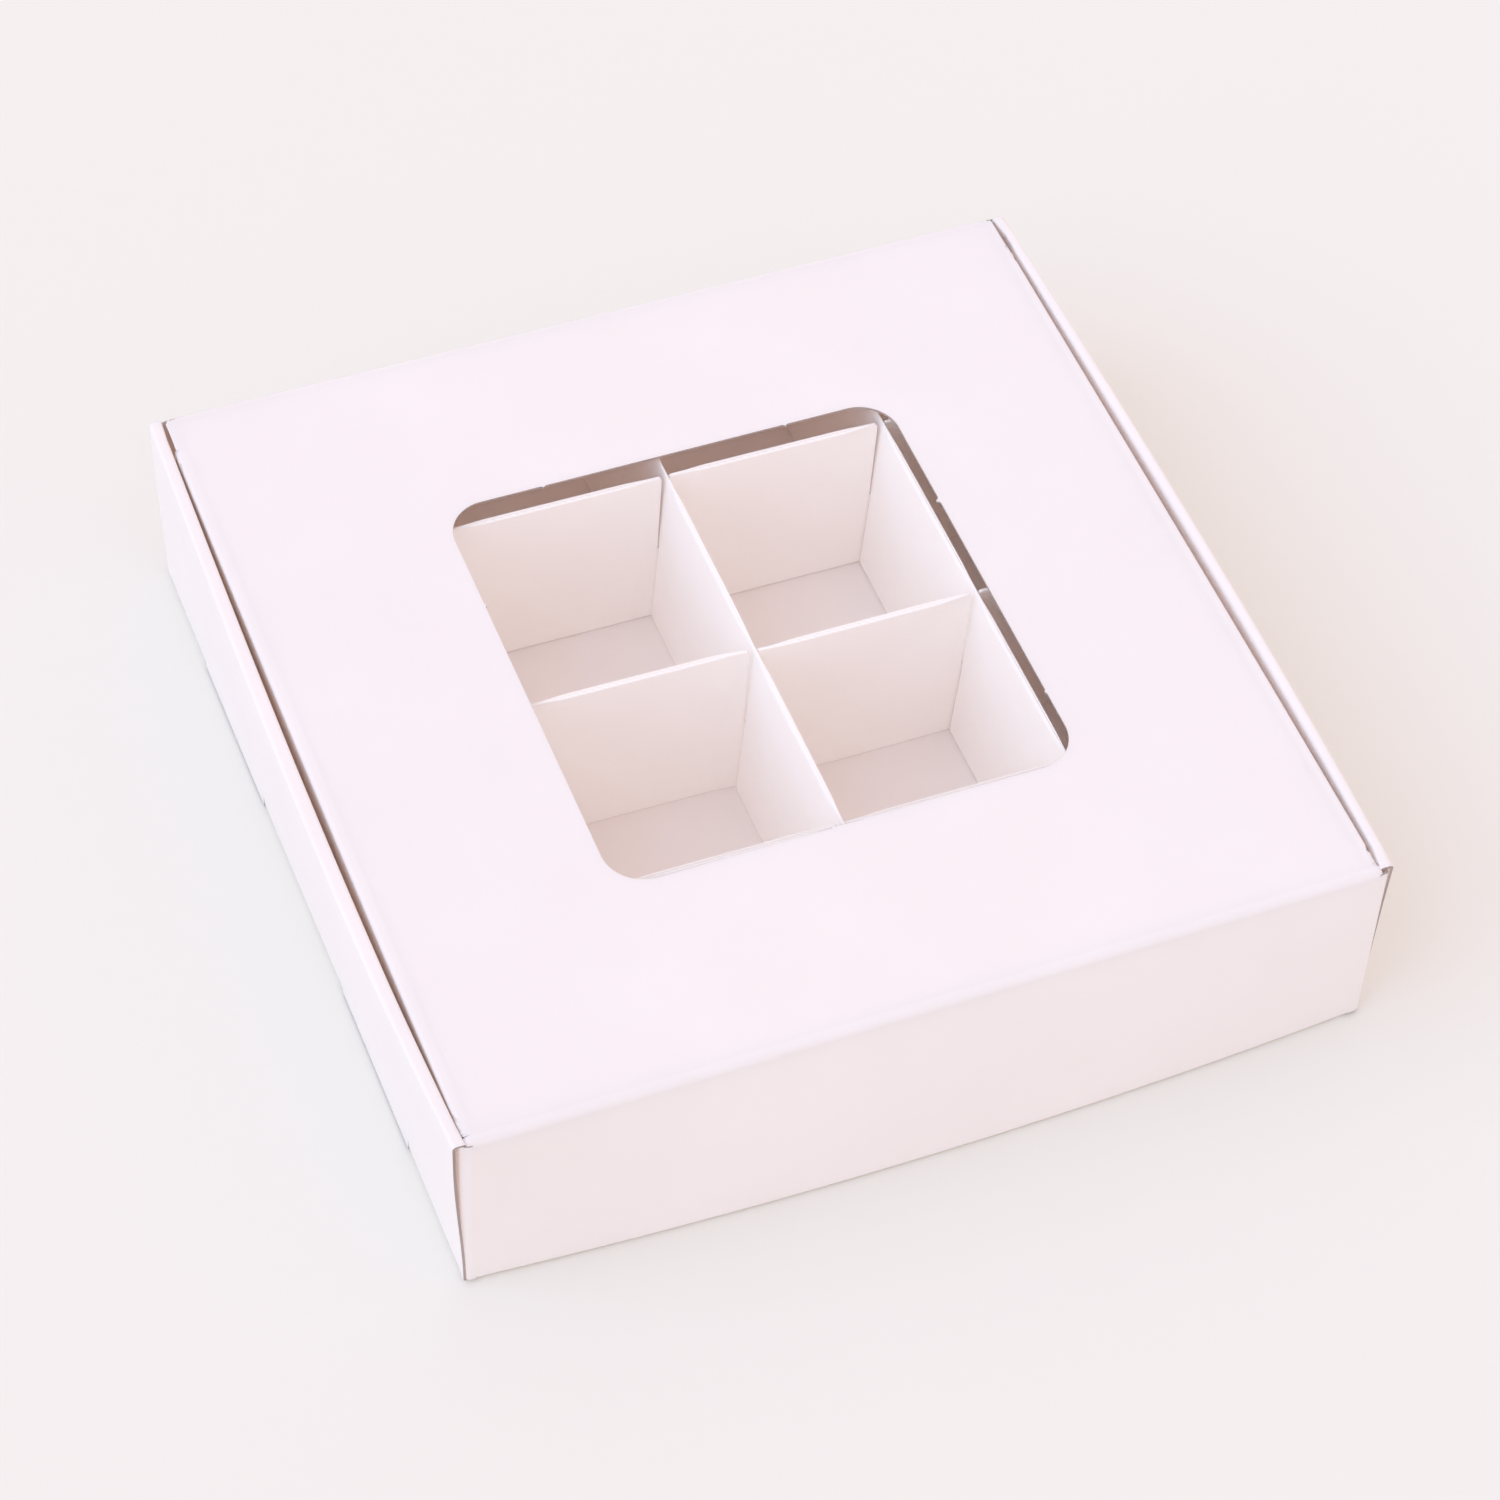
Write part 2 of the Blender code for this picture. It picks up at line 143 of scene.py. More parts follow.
def stitched(grids):
    """All points of several grids, and the cells that join them."""
    starts = np.cumsum([0] + [grid.shape[0] * grid.shape[1] for grid in grids[:-1]])
    cells = [quads(*grid.shape[:2]) + start for grid, start in zip(grids, starts)]
    return np.concatenate([grid.reshape(-1, 3) for grid in grids]), np.concatenate(cells)


def carried(path, stations):
    """Grid of a profile (y, z) carried straight along X."""
    grid = np.empty((len(stations), len(path), 3))
    grid[..., 0] = stations[:, None]
    grid[..., 1:] = path
    return grid


def level_grid(xs, ys, z):
    """Flat grid at height z."""
    grid = np.empty((len(xs), len(ys), 3))
    grid[..., 0], grid[..., 1], grid[..., 2] = xs[:, None], ys[None, :], z
    return grid


# %% [markdown]
# ### Welding and thickness
# `weld` joins grids that share an edge, and `board` gives the middle surface its thickness with a Solidify
# modifier. That is applied at once, so that the folds, the faces and the cut edges can be shaded apart. A
# blank has a coated outside, a plainer inside and a raw cut edge, so its sheet has three materials, and
# `retint` gives some of the outer faces a fourth, here the darker tint that paints shade into the slits.

# %% A sheet of board
WELD = 0.002 * MM
SHARP = radians(38)


def add_object(name, mesh):
    """Show a mesh in the scene under its piece's name."""
    piece = bpy.data.objects.new(name, mesh)
    scene.collection.objects.link(piece)
    return piece


def shade(mesh, angle=SHARP):
    """Smooth faces, with an edge left sharp where they meet at more than the angle."""
    mesh.polygons.foreach_set("use_smooth", np.ones(len(mesh.polygons), bool))
    mesh.set_sharp_from_angle(angle=angle)


def weld(mesh, outward):
    """Join points that coincide, and turn all faces to the side that `outward` points to."""
    work = bmesh.new()
    work.from_mesh(mesh)
    bmesh.ops.remove_doubles(work, verts=work.verts, dist=WELD)
    bmesh.ops.recalc_face_normals(work, faces=work.faces)
    total = sum((face.normal * face.calc_area() for face in work.faces), Vector())
    if total.dot(Vector(outward)) < 0:
        bmesh.ops.reverse_faces(work, faces=work.faces)
    work.to_mesh(mesh)
    work.free()


def board(name, grids, outward, materials, thickness=BOARD):
    """Weld middle-surface grids into one sheet, thicken it evenly to both sides and shade its folds."""
    points, cells = stitched(grids)
    mesh = bpy.data.meshes.new(name)
    mesh.from_pydata(points.tolist(), [], cells.tolist())
    weld(mesh, outward)
    for material in materials:
        mesh.materials.append(material)
    piece = add_object(name, mesh)
    solid = piece.modifiers.new("thickness", "SOLIDIFY")
    solid.thickness = thickness
    solid.offset = 0.0
    solid.use_even_offset = True
    solid.material_offset = 1
    solid.material_offset_rim = 2
    seen = piece.evaluated_get(bpy.context.evaluated_depsgraph_get())
    piece.data = bpy.data.meshes.new_from_object(seen)
    piece.modifiers.clear()
    piece.data.name = name
    shade(piece.data)
    print(name, "faces:", len(piece.data.polygons))
    return piece


def retint(piece, material, chosen):
    """Give another material to the outer faces that `chosen` picks by their middles and normals."""
    polygons = piece.data.polygons
    middles, normals = np.empty(3 * len(polygons)), np.empty(3 * len(polygons))
    numbers = np.empty(len(polygons), np.int32)
    polygons.foreach_get("center", middles)
    polygons.foreach_get("normal", normals)
    polygons.foreach_get("material_index", numbers)
    picked = (numbers == 0) & chosen(middles.reshape(-1, 3), normals.reshape(-1, 3))
    numbers[picked] = len(piece.data.materials)
    piece.data.materials.append(material)
    polygons.foreach_set("material_index", numbers)
    print(piece.name, material.name, "faces:", int(picked.sum()))


# %% [markdown]
# ### Soft steps and rounded corners
# Two small formulas come back in almost every shape. `ease` goes from 0 to 1 without a kink, and
# `rounded_path` draws a folded section with an arc at each crease. A Bevel modifier could round the creases
# too, but a path keeps the number of points the same, so two sections can be mixed point by point.

# %% Easing, rounded paths and spacing
FINE_PITCH, WIDE_PITCH = 2.5 * MM, 4.0 * MM  # usual distances between the stations of a grid


def ease(share):
    """Smooth step: 0 below 0, 1 above 1, and 3 s^2 - 2 s^3 between."""
    share = np.clip(share, 0.0, 1.0)
    return share * share * (3.0 - 2.0 * share)


def rounded_path(corners, radii, steps, arc_steps=10):
    """Line through the corners, with an arc of the given radius at each corner between its ends.

    Each straight stretch has the given number of steps. An arc that turns through the angle a starts
    r tan(a / 2) before its corner, and its point at angle t is start + r (sin t in + (1 - cos t) across).
    """
    corners = np.array(corners, float)
    at, points = corners[0], [corners[:1]]
    for i in range(1, len(corners)):
        way = (corners[i] - corners[i - 1]) / np.linalg.norm(corners[i] - corners[i - 1])
        begin, arc = corners[i], np.empty((0, corners.shape[1]))
        if i < len(corners) - 1:
            onward = (corners[i + 1] - corners[i]) / np.linalg.norm(corners[i + 1] - corners[i])
            turn = np.arccos(way @ onward)
            begin = corners[i] - way * radii[i - 1] * tan(turn / 2)
            across = (onward - way * cos(turn)) / sin(turn)
            angle = np.linspace(0.0, turn, arc_steps + 1)[1:, None]
            arc = begin + radii[i - 1] * (np.sin(angle) * way + (1.0 - np.cos(angle)) * across)
        share = np.linspace(0.0, 1.0, steps[i - 1] + 1)[1:, None]
        points += [at + (begin - at) * share, arc]
        at = points[-1][-1] if len(arc) else begin
    return np.concatenate(points)


def spaced(low, high, pitch, marks=()):
    """Evenly spaced values from low to high, with the marks that fall between them added."""
    even = np.linspace(low, high, max(2, int(round((high - low) / pitch)) + 1))
    inside = [mark for mark in marks if low < mark < high]
    return np.unique(np.round(np.concatenate([even, inside]), 7))


# %% [markdown]
# ## Shader maths as sums
# A material is a small network of nodes. `Wire` holds one socket of it, and adds a Math node whenever a
# wire meets `+` or `*`, on either side. Every other node comes from `node`, which takes its type, its
# settings and the values or wires of its sockets. Colours are mixed by Mix nodes, since a Math node would
# turn them grey.

# %% The Wire class
class Wire:
    """One output of a material's node tree, on which sums can be written."""

    def __init__(self, tree, socket=None):
        self.tree, self.socket = tree, socket

    def node(self, kind, settings=None, values=None, output=0):
        """Add a node: its settings first, then the values or wires of its sockets."""
        made = self.tree.nodes.new(kind)
        for key, value in (settings or {}).items():
            setattr(made, key, value)
        for key, value in (values or {}).items():
            if isinstance(value, Wire):
                self.tree.links.new(value.socket, made.inputs[key])
            else:
                made.inputs[key].default_value = value
        return Wire(self.tree, made.outputs[output])

    def maths(self, operation, first, second):
        """Add a Math node that works on two wires or numbers."""
        return self.node("ShaderNodeMath", {"operation": operation}, {0: first, 1: second})

    def __add__(self, other):
        return self.maths("ADD", self, other)

    def __mul__(self, other):
        return self.maths("MULTIPLY", self, other)

    def __radd__(self, other):
        return self.maths("ADD", other, self)

    def __rmul__(self, other):
        return self.maths("MULTIPLY", other, self)

    def mix(self, first, second):
        """Colour between two colours, with this wire as the share of the second."""
        sockets = {0: self, 6: first, 7: second}
        return self.node("ShaderNodeMix", {"data_type": "RGBA"}, sockets, output=2)


# %% Helpers for materials
OBJECT_PLACE = 3  # the output of Texture Coordinate that gives object coordinates


def new_material(name):
    """Empty material with its node tree, its main shader and a wire to start from."""
    material = bpy.data.materials.new(name)
    material.use_nodes = True
    shader = material.node_tree.nodes["Principled BSDF"]
    return material, shader, Wire(material.node_tree)


def link(wire, socket):
    """Lead a wire to a socket."""
    wire.tree.links.new(wire.socket, socket)


def noise(wire, scale, detail, **more):
    """Cloudy pattern in object coordinates, with `scale` clouds or so to the metre."""
    place = wire.node("ShaderNodeTexCoord", output=OBJECT_PLACE)
    return wire.node("ShaderNodeTexNoise", None, {"Vector": place, "Scale": scale, "Detail": detail, **more})


def bumped(height):
    """Normal tilted by a height in metres."""
    return height.node("ShaderNodeBump", None, {"Height": height, "Strength": 1.0, "Distance": 1.0})


# %% [markdown]
# ## White paperboard
# Board is pressed from pulp, so even a coated face has cloudy density, a fine tooth and a slight waviness.
# One recipe makes every face: two tints mixed by a cloudy noise, a roughness that follows the fibres, and a
# bump that adds the tooth to the waviness. The faces differ in tint, gloss and tooth, as the table says. All
# patterns read object coordinates, so they stay put on the sheet when a panel turns. Board this thin also
# lets some light through, so a share of each face of the blank is a translucent shader. The slits beside the
# lid are darker than this light makes them, so the faces in them get a duller tint: painted shade.

# %% The board recipe
SOAK = 0.18
LID_SOAK = 0.22
SOAK_TINT = (1.0, 0.91, 0.84, 1)
CLOUD_SCALE = 38.0
FIBRE_SCALE = 1500.0
WAVE_SCALE = 14.0
ROUGHNESS_PLAY = 0.14
CLOUD_PART, FIBRE_PART = 0.8, 0.2
NOISE_LOW, NOISE_HIGH = 0.35, 0.65  # the noise at which a face has its light tint, and its dark one


def paper(name, light, dark, roughness, tooth, wave, gloss, soak):
    """Face mixed from two tints, with tooth and wave in millimetres, and a share of light that soaks in."""
    material, shader, wire = new_material(name)
    cloud = noise(wire, CLOUD_SCALE, 4.0, Roughness=0.55)
    fibre = noise(wire, FIBRE_SCALE, 2.0, Roughness=0.6)
    waves = noise(wire, WAVE_SCALE, 1.0)
    levels = {"Value": cloud * CLOUD_PART + fibre * FIBRE_PART, "From Min": NOISE_LOW, "From Max": NOISE_HIGH}
    share = wire.node("ShaderNodeMapRange", None, levels)
    link(share.mix((*light, 1), (*dark, 1)), shader.inputs["Base Color"])
    link(fibre * ROUGHNESS_PLAY + (roughness - ROUGHNESS_PLAY / 2), shader.inputs["Roughness"])
    bump = bumped(fibre * (tooth * MM) + waves * (wave * MM))
    link(bump, shader.inputs["Normal"])
    shader.inputs["Specular IOR Level"].default_value = gloss
    if soak:
        through = wire.node("ShaderNodeBsdfTranslucent", None, {"Color": SOAK_TINT, "Normal": bump})
        face = Wire(wire.tree, shader.outputs[0])
        both = wire.node("ShaderNodeMixShader", None, {0: soak, 1: face, 2: through})
        link(both, wire.tree.nodes["Material Output"].inputs["Surface"])
    return material


# %% The finishes
FINISHES = (  # name, light tint, dark tint, roughness, tooth, wave, gloss, soak
    ("coated_face", (1.0, 0.985, 0.98), (0.985, 0.968, 0.958), 0.50, 0.004, 0.06, 0.35, SOAK),
    ("plain_face", (1.0, 0.962, 0.938), (0.982, 0.938, 0.910), 0.65, 0.006, 0.06, 0.25, SOAK),
    # the cut edge's dark brown is partly the board's darker core and partly painted shade
    ("cut_edge", (0.46, 0.39, 0.36), (0.36, 0.30, 0.275), 0.80, 0.010, 0.02, 0.10, 0.0),
    # the slit shade is the plain face made darker: painted shade for faces deep in the slits beside the lid
    ("painted_slit_shade", (0.90, 0.855, 0.825), (0.87, 0.825, 0.795), 0.60, 0.004, 0.06, 0.30, SOAK),
    ("base_inside", (0.958, 0.915, 0.888), (0.938, 0.890, 0.862), 0.65, 0.006, 0.06, 0.25, SOAK),
    ("lid_face", (1.0, 0.992, 0.990), (0.988, 0.976, 0.970), 0.50, 0.004, 0.06, 0.35, LID_SOAK),
    ("lid_inside", (1.0, 0.962, 0.938), (0.982, 0.938, 0.910), 0.65, 0.006, 0.06, 0.25, LID_SOAK),
    ("divider_face", (0.978, 0.952, 0.922), (0.960, 0.930, 0.898), 0.60, 0.005, 0.08, 0.25, 0.0),
    ("divider_cut_edge", (0.93, 0.895, 0.87), (0.88, 0.84, 0.81), 0.75, 0.010, 0.02, 0.15, 0.0),
)
faces = [paper(*finish) for finish in FINISHES]
coated, plain, raw_edge, slit_shade, base_inside, lid_face, lid_inside, divider, divider_cut = faces
print("finishes:", [face.name for face in faces])
BLANK = (coated, plain, raw_edge)

# %% [markdown]
# ## How the box has settled
# A box of thin board never stands quite square. This one leans to the left at its top, the feet of its side
# walls have slid to the right, and the foot of its near wall bows out. Each of these is a small function of
# place, kept apart from the panels, so that a panel is worked out true and then moved with its neighbours.

# %% Functions of place
SLUMP_HEIGHT = 38.0 * MM
LEFT_SLUMP, LEFT_TWIST, TWIST_LENGTH = 0.8 * MM, 0.5 * MM, 50.0 * MM
RIGHT_SLUMP, RIGHT_HEIGHT = 1.0 * MM, 46.0 * MM
NEAR_TUCK, TUCK_FROM, TUCK_RUN = 0.3 * MM, 50.0 * MM, 38.0 * MM
BOW_SKEW = 0.3
FOOT_BOW, FOOT_MIDDLE, FOOT_HALF = 3.5 * MM, 5.0 * MM, 91.0 * MM
BOWS = {-1: BOW, 1: 1.3 * MM}


def bow_share(y):
    """Share of the full bow at y: (1 - t^2)(1 - skew t), with t = y / half length."""
    t = np.clip(y / WALL_END, -1.0, 1.0)
    return (1.0 - t ** 2) * (1.0 - BOW_SKEW * t)


def settled(grid, side):
    """Move a grid as the box has racked and slumped.

    Everything moves left by rack z / height. The foot moves right by its slump (1 - ease(z / slump height)),
    which on the left is less towards the far end, and the left wall's near end is drawn in at its top.
    """
    y, z = grid[..., 1], grid[..., 2]
    slump, height = RIGHT_SLUMP, RIGHT_HEIGHT
    if side < 0:
        slump, height = LEFT_SLUMP - LEFT_TWIST * np.tanh(y / TWIST_LENGTH), SLUMP_HEIGHT
    tuck = NEAR_TUCK * z / TOP * ease((-y - TUCK_FROM) / TUCK_RUN) * (side < 0)
    moved = grid.copy()
    moved[..., 0] += slump * (1.0 - ease(z / height)) + tuck - RACK * z / TOP
    return moved


def foot_bow(x):
    """How far the hinge wall's foot bows towards the camera: bow (1 - t^2), with t from its middle."""
    return FOOT_BOW * np.maximum(0.0, 1.0 - ((x - FOOT_MIDDLE) / FOOT_HALF) ** 2)


print("bows of the side walls, left and right:", [round(bow / MM, 2) for bow in BOWS.values()])

# %% [markdown]
# ## The rolled side walls
# Each side wall is one run of board: up from the base as the outer layer, over the top as a narrow strip,
# and down again inside. Thin board springs back a little, so the rolled top leans out and bows most near
# half way along. The section is a path with soft creases. It is worked out twice, unbowed and fully bowed,
# and every station along the wall mixes the two by its own bow.
#
# Along the base the wall is creased, except at two places where a slot is cut in the crease for a lock tab
# of the inner layer. There the wall's foot is a straight cut edge that stands a little proud.

# %% Section of a side wall
SPLIT_Z = 3.0 * MM
BASE_SIDE = 88.2 * MM
INNER_FOOT = 0.95 * MM
INNER_LEANS = {-1: 0.4 * MM, 1: 0.75 * MM}
TAB_FOOT = 0.1 * MM
BASE_CREASE = 0.5 * MM
OUTER_CREASES = {-1: 0.4 * MM, 1: 0.5 * MM}
END_CLOSES, CLOSE_FROM = {-1: 0.2 * MM, 1: 0.75 * MM}, 84.0 * MM
WALL_SLIDE = {-1: (1.004, -0.45 * MM), 1: (1.0, -0.2 * MM)}
INNER_CREASES = {-1: (0.3 * MM, 0.3 * MM), 1: (0.35 * MM, 1.1 * MM)}
INNER_BOWS = {-1: 1.4 * MM, 1: 1.05 * MM}
INNER_SETBACK = 4.0 * MM
INNER_TAPER = 7.0 * MM
LOCK_CENTRES = (-40.2 * MM, 44.2 * MM)
LOCK_LENGTH = 37.2 * MM
TAB_PLAY = 0.3 * MM
SLOT_PROUD, CUT_LIFT = 0.15 * MM, 0.03 * MM
WALL_STEPS = (16, 2, 16)
lock_spans = [(centre - LOCK_LENGTH / 2, centre + LOCK_LENGTH / 2) for centre in LOCK_CENTRES]
lock_marks = [mark for span in lock_spans for mark in span]
print("lock slots along the walls:", [round(mark / MM, 2) for mark in lock_marks])


def wall_x(side, z, share):
    """Middle of the outer layer at height z: it leans out in proportion to its height."""
    return WALL_X + (LEAN + BOWS[side] * share) * z / TOP


def rolled_path(side, share):
    """Path (x, z) from the outer layer's foot part over the top strip and down the inner layer."""
    small, large = INNER_CREASES[side]
    corners = [(wall_x(side, SPLIT_Z, share), SPLIT_Z), (wall_x(side, SHEET_TOP, share), SHEET_TOP),
               (INNER_X + INNER_LEANS[side] + INNER_BOWS[side] * share, SHEET_TOP), (INNER_X, INNER_FOOT)]
    return rounded_path(corners, [OUTER_CREASES[side], small + (large - small) * share], WALL_STEPS)


def creased_foot(side, share):
    """Path from under the base round the base crease to the outer layer."""
    corners = [(BASE_SIDE, HALF), (WALL_X, HALF), (wall_x(side, SPLIT_Z, share), SPLIT_Z)]
    return rounded_path(corners, [BASE_CREASE], [2, 2])


def cut_foot(side, share):
    """Straight foot where a lock slot is cut in the crease."""
    corners = [(WALL_X + SLOT_PROUD, CUT_LIFT), (wall_x(side, SPLIT_Z, share), SPLIT_Z)]
    return rounded_path(corners, [], [4])


def wall_grid(side, path, stations):
    """Section carried along the wall: unbowed path + (bowed path - unbowed path) share, at each station."""
    still, bowed = path(side, 0.0), path(side, 1.0)
    share = bow_share(stations)[:, None]
    grid = np.empty((len(stations), len(still), 3))
    grid[..., 0] = side * (still[:, 0] + (bowed - still)[:, 0] * share)
    grid[..., 1] = stations[:, None]
    grid[..., 2] = still[:, 1] + (bowed - still)[:, 1] * share
    return grid


# %% [markdown]
# ### One sheet for a whole wall
# A curve with a bevel section could sweep this wall, but its inner layer is set back at the ends, its tabs
# and slots break its foot, and its bow changes on the way. So the rolled part, the feet and the tabs are
# grids with stations in common, welded into one sheet. Near its ends the inner layer comes in towards the
# lid, so that the slit between them closes.

# %% Build both side walls
INNER_POINTS = 24  # points of the section that lie on the inner layer
STRIP_FROM, STRIP_POINTS = 16, 17  # first point of the top strip, and how many until it is all inner layer
# height above which, and facing beyond which, the left wall's inner faces get painted shade
SLIT_SHADE_FROM, FACING = 28.0 * MM, 0.8


def shade_faces_in_slit(middle, normal):
    """Inner faces of the left wall that look across the slit beside the lid, for painted shade."""
    return (normal[:, 0] > FACING) & (middle[:, 2] > SLIT_SHADE_FROM)


def side_wall(label, side):
    """Rolled wall with its feet and its lock tabs, in one sheet, which has slid a little along the box."""
    shrink = 1.0 - INNER_SETBACK / WALL_END
    tab_marks = [(low + TAB_PLAY) / shrink for low, high in lock_spans]
    tab_marks += [(high - TAB_PLAY) / shrink for low, high in lock_spans]
    stations = spaced(-WALL_END, WALL_END, FINE_PITCH, lock_marks + tab_marks)
    rolled = wall_grid(side, rolled_path, stations)
    number = np.arange(rolled.shape[1])
    inner = number > len(number) - INNER_POINTS
    set_back = 1.0 - (1.0 - shrink) * ease((SHEET_TOP - rolled[0, :, 2]) / INNER_TAPER) * inner
    rolled[..., 1] *= set_back
    closing = ease((np.abs(stations) - CLOSE_FROM) / (WALL_END - CLOSE_FROM))[:, None]
    inward = np.clip((number - STRIP_FROM) / STRIP_POINTS, 0.0, 1.0)
    rolled[..., 0] -= side * END_CLOSES[side] * closing * inward
    grids = [rolled]
    ends = [-WALL_END, *lock_marks, WALL_END]
    for index, (low, high) in enumerate(zip(ends[:-1], ends[1:])):
        part = stations[(stations >= low - WELD) & (stations <= high + WELD)]
        grids.append(wall_grid(side, cut_foot if index % 2 else creased_foot, part))
    foot = rolled[:, -1]
    for low, high in lock_spans:
        tab = foot[(foot[:, 1] >= low + TAB_PLAY - WELD) & (foot[:, 1] <= high - TAB_PLAY + WELD)]
        lowered = tab * (1, 1, 0) + (0, 0, TAB_FOOT)
        grids.append(np.stack([tab, lowered]))
    grids = [settled(grid, side) for grid in grids]
    stretch, slide = WALL_SLIDE[side]
    for grid in grids:
        grid[..., 1] = grid[..., 1] * stretch + slide
    piece = board(f"{label}_side_wall", grids, (side, 0, 1), BLANK)
    # on the left the inner faces high in the slit get the darker tint, which is painted shade
    if side < 0:
        retint(piece, slit_shade, shade_faces_in_slit)
    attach(piece, "box")
    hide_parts(f"{label}_outer_wall", f"{label}_top_strip", f"{label}_inner_wall")


side_wall("left", -1)
side_wall("right", 1)

# %% [markdown]
# ## The base
# The base is the flat middle of the blank. It reaches a little into each lock slot, where the tabs go down.
# Its left and right halves follow the feet of their own side walls and share the seam between them, and its
# near edge follows the bowed foot of the near wall. Its inside is seen at the bottom of the cells.

# %% Build the base
BASE_END = 88.0 * MM
SLOT_EDGE = 88.7 * MM
FLOOR_PITCH = 6.0 * MM
floor_y = spaced(-BASE_END, BASE_END, FLOOR_PITCH, lock_marks)
base_grids = [settled(level_grid(spaced(-BASE_SIDE, 0.0, FLOOR_PITCH), floor_y, HALF), -1),
              settled(level_grid(spaced(0.0, BASE_SIDE, FLOOR_PITCH), floor_y, HALF), 1)]
seam_x = (base_grids[0][-1, :, 0] + base_grids[1][0, :, 0]) / 2
base_grids[0][-1, :, 0] = base_grids[1][0, :, 0] = seam_x
for low, high in lock_spans:
    reach = floor_y[(floor_y >= low - WELD) & (floor_y <= high + WELD)]
    for side in (-1, 1):
        base_grids.append(settled(level_grid(side * np.array([BASE_SIDE, SLOT_EDGE]), reach, HALF), side))
for grid in base_grids:
    grid[..., 1] -= foot_bow(grid[..., 0]) * np.clip(-grid[..., 1] / BASE_END, 0.0, 1.0) ** 2
base = board("base_sheet", base_grids, (0, 0, -1), (coated, base_inside, raw_edge))
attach(base, "box")
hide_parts("base_panel")

# %% [markdown]
# ## The hinge wall and the front wall
# Each end wall folds up from the base and carries a flap at each end, which turns the corner and slides into
# the hollow side wall. The wall and its flaps are one strip of board, so they are one sheet here: a flat
# part, a fold under it, and two corner parts. The near wall's foot bows out, while its top stays straight.

# %% Measures of the end walls
HINGE_ROLL, ROLL_LEAD = 1.6 * MM, 0.1 * MM
CORNER_FOLD, CORNER_CURVE, CORNER_RUN = 0.35 * MM, 3.0 * MM, 1.35 * MM
CORNER_BENDS = {-1: 0.7 * MM, 1: 0.1 * MM}
FLAP_X = {-1: 89.7 * MM, 1: 89.85 * MM}
FLAP_LEAN = 0.6 * MM
FLAP_END = 48.0 * MM
FLAP_TAPER = 9.0 * MM
FLAP_NARROW = 0.4
FLAP_RUN = 2.6 * MM
WALL_SIDE = 87.3 * MM
CREASE_START = 1.35 * MM
CREASE_STOP = SHEET_TOP - HINGE_ROLL - ROLL_LEAD
FLAP_FOOT = 0.25 * MM
FLAP_HEAD = 44.05 * MM
FRONT_DROP = 0.25 * MM
SPREAD, SPREAD_TOP = 1.68 * MM, 1.35 * MM
wall_rows = np.linspace(CREASE_START, CREASE_STOP, 22)
wall_columns = spaced(-WALL_SIDE, WALL_SIDE, WIDE_PITCH)
print("grid of an end wall:", len(wall_columns), "by", len(wall_rows))


def spread_at(x, z):
    """How far the racked wall's right part has moved right: x share (spread - top part z / height)."""
    return np.clip(x / WALL_SIDE, 0.0, 1.0) * (SPREAD - SPREAD_TOP * z / TOP)


def racked(grid, end):
    """Move the flat part of an end wall as the box has racked.

    Only the near one is spread on its right, and bows out at its foot and less and less further up.
    """
    moved = grid.copy()
    if end < 0:
        moved[..., 1] -= foot_bow(grid[..., 0]) * np.clip(1.0 - grid[..., 2] / CREASE_STOP, 0.0, 1.0)
    moved[..., 0] += (end < 0) * spread_at(grid[..., 0], grid[..., 2]) - RACK * grid[..., 2] / TOP
    return moved


# %% [markdown]
# ### Corners
# Board that is bent along a crease also curves a little beside it. The path round a corner therefore bends
# slowly at first, still in the wall, and then folds crisply and runs straight back. The corner parts stop
# short of the creases above and below, which leaves the small relief notches of the blank open.

# %% Corner parts
def corner_path(side):
    """Path (x, y) round a corner: a slow curve in the wall, a crisp fold, then straight back along Y."""
    y_wall, x = abs(HINGE_Y), FLAP_X[side]
    corners = [(WALL_SIDE, y_wall), (x - CORNER_RUN, y_wall), (x, y_wall - CORNER_BENDS[side]), (x, FLAP_END)]
    return rounded_path(corners, [CORNER_CURVE, CORNER_FOLD], [2, 2, 24])


def corner_part(side, end, rows, skip):
    """Corner flap, from the wall round the corner into the hollow side wall.

    Past the fold the flap goes over from the wall's shape to the side wall's, and leans and bows out with
    it: x + (z / height) (lean + bow). Its free end narrows towards its middle height.
    """
    y_wall = abs(HINGE_Y)
    path = corner_path(side)[skip:]
    x, y = path[:, 0][:, None], path[:, 1][:, None]
    narrow = 1.0 - FLAP_NARROW * np.clip((FLAP_END + FLAP_TAPER - y) / FLAP_TAPER, 0.0, 1.0)
    z = TOP / 2 + (rows[None, :] - TOP / 2) * narrow
    inside = ease((y_wall - y) / FLAP_RUN)
    grid = np.empty((len(path), len(rows), 3))
    grid[..., 0] = side * (x + inside * z / TOP * (FLAP_LEAN + BOWS[side] * bow_share(end * y)))
    grid[..., 1] = end * y
    grid[..., 2] = z
    wall_like = racked(grid, end)
    flap_like = settled(grid, side)
    return wall_like + (flap_like - wall_like) * inside[..., None]


# %% [markdown]
# ### Both end walls
# One function builds both. The near wall goes up to the crease that the lid hinges on. The front wall ends
# in a cut edge, a little lower than the lid, which hides it. Above its middle rows a corner has cells of its
# own, whose path starts later, and that leaves the notch.

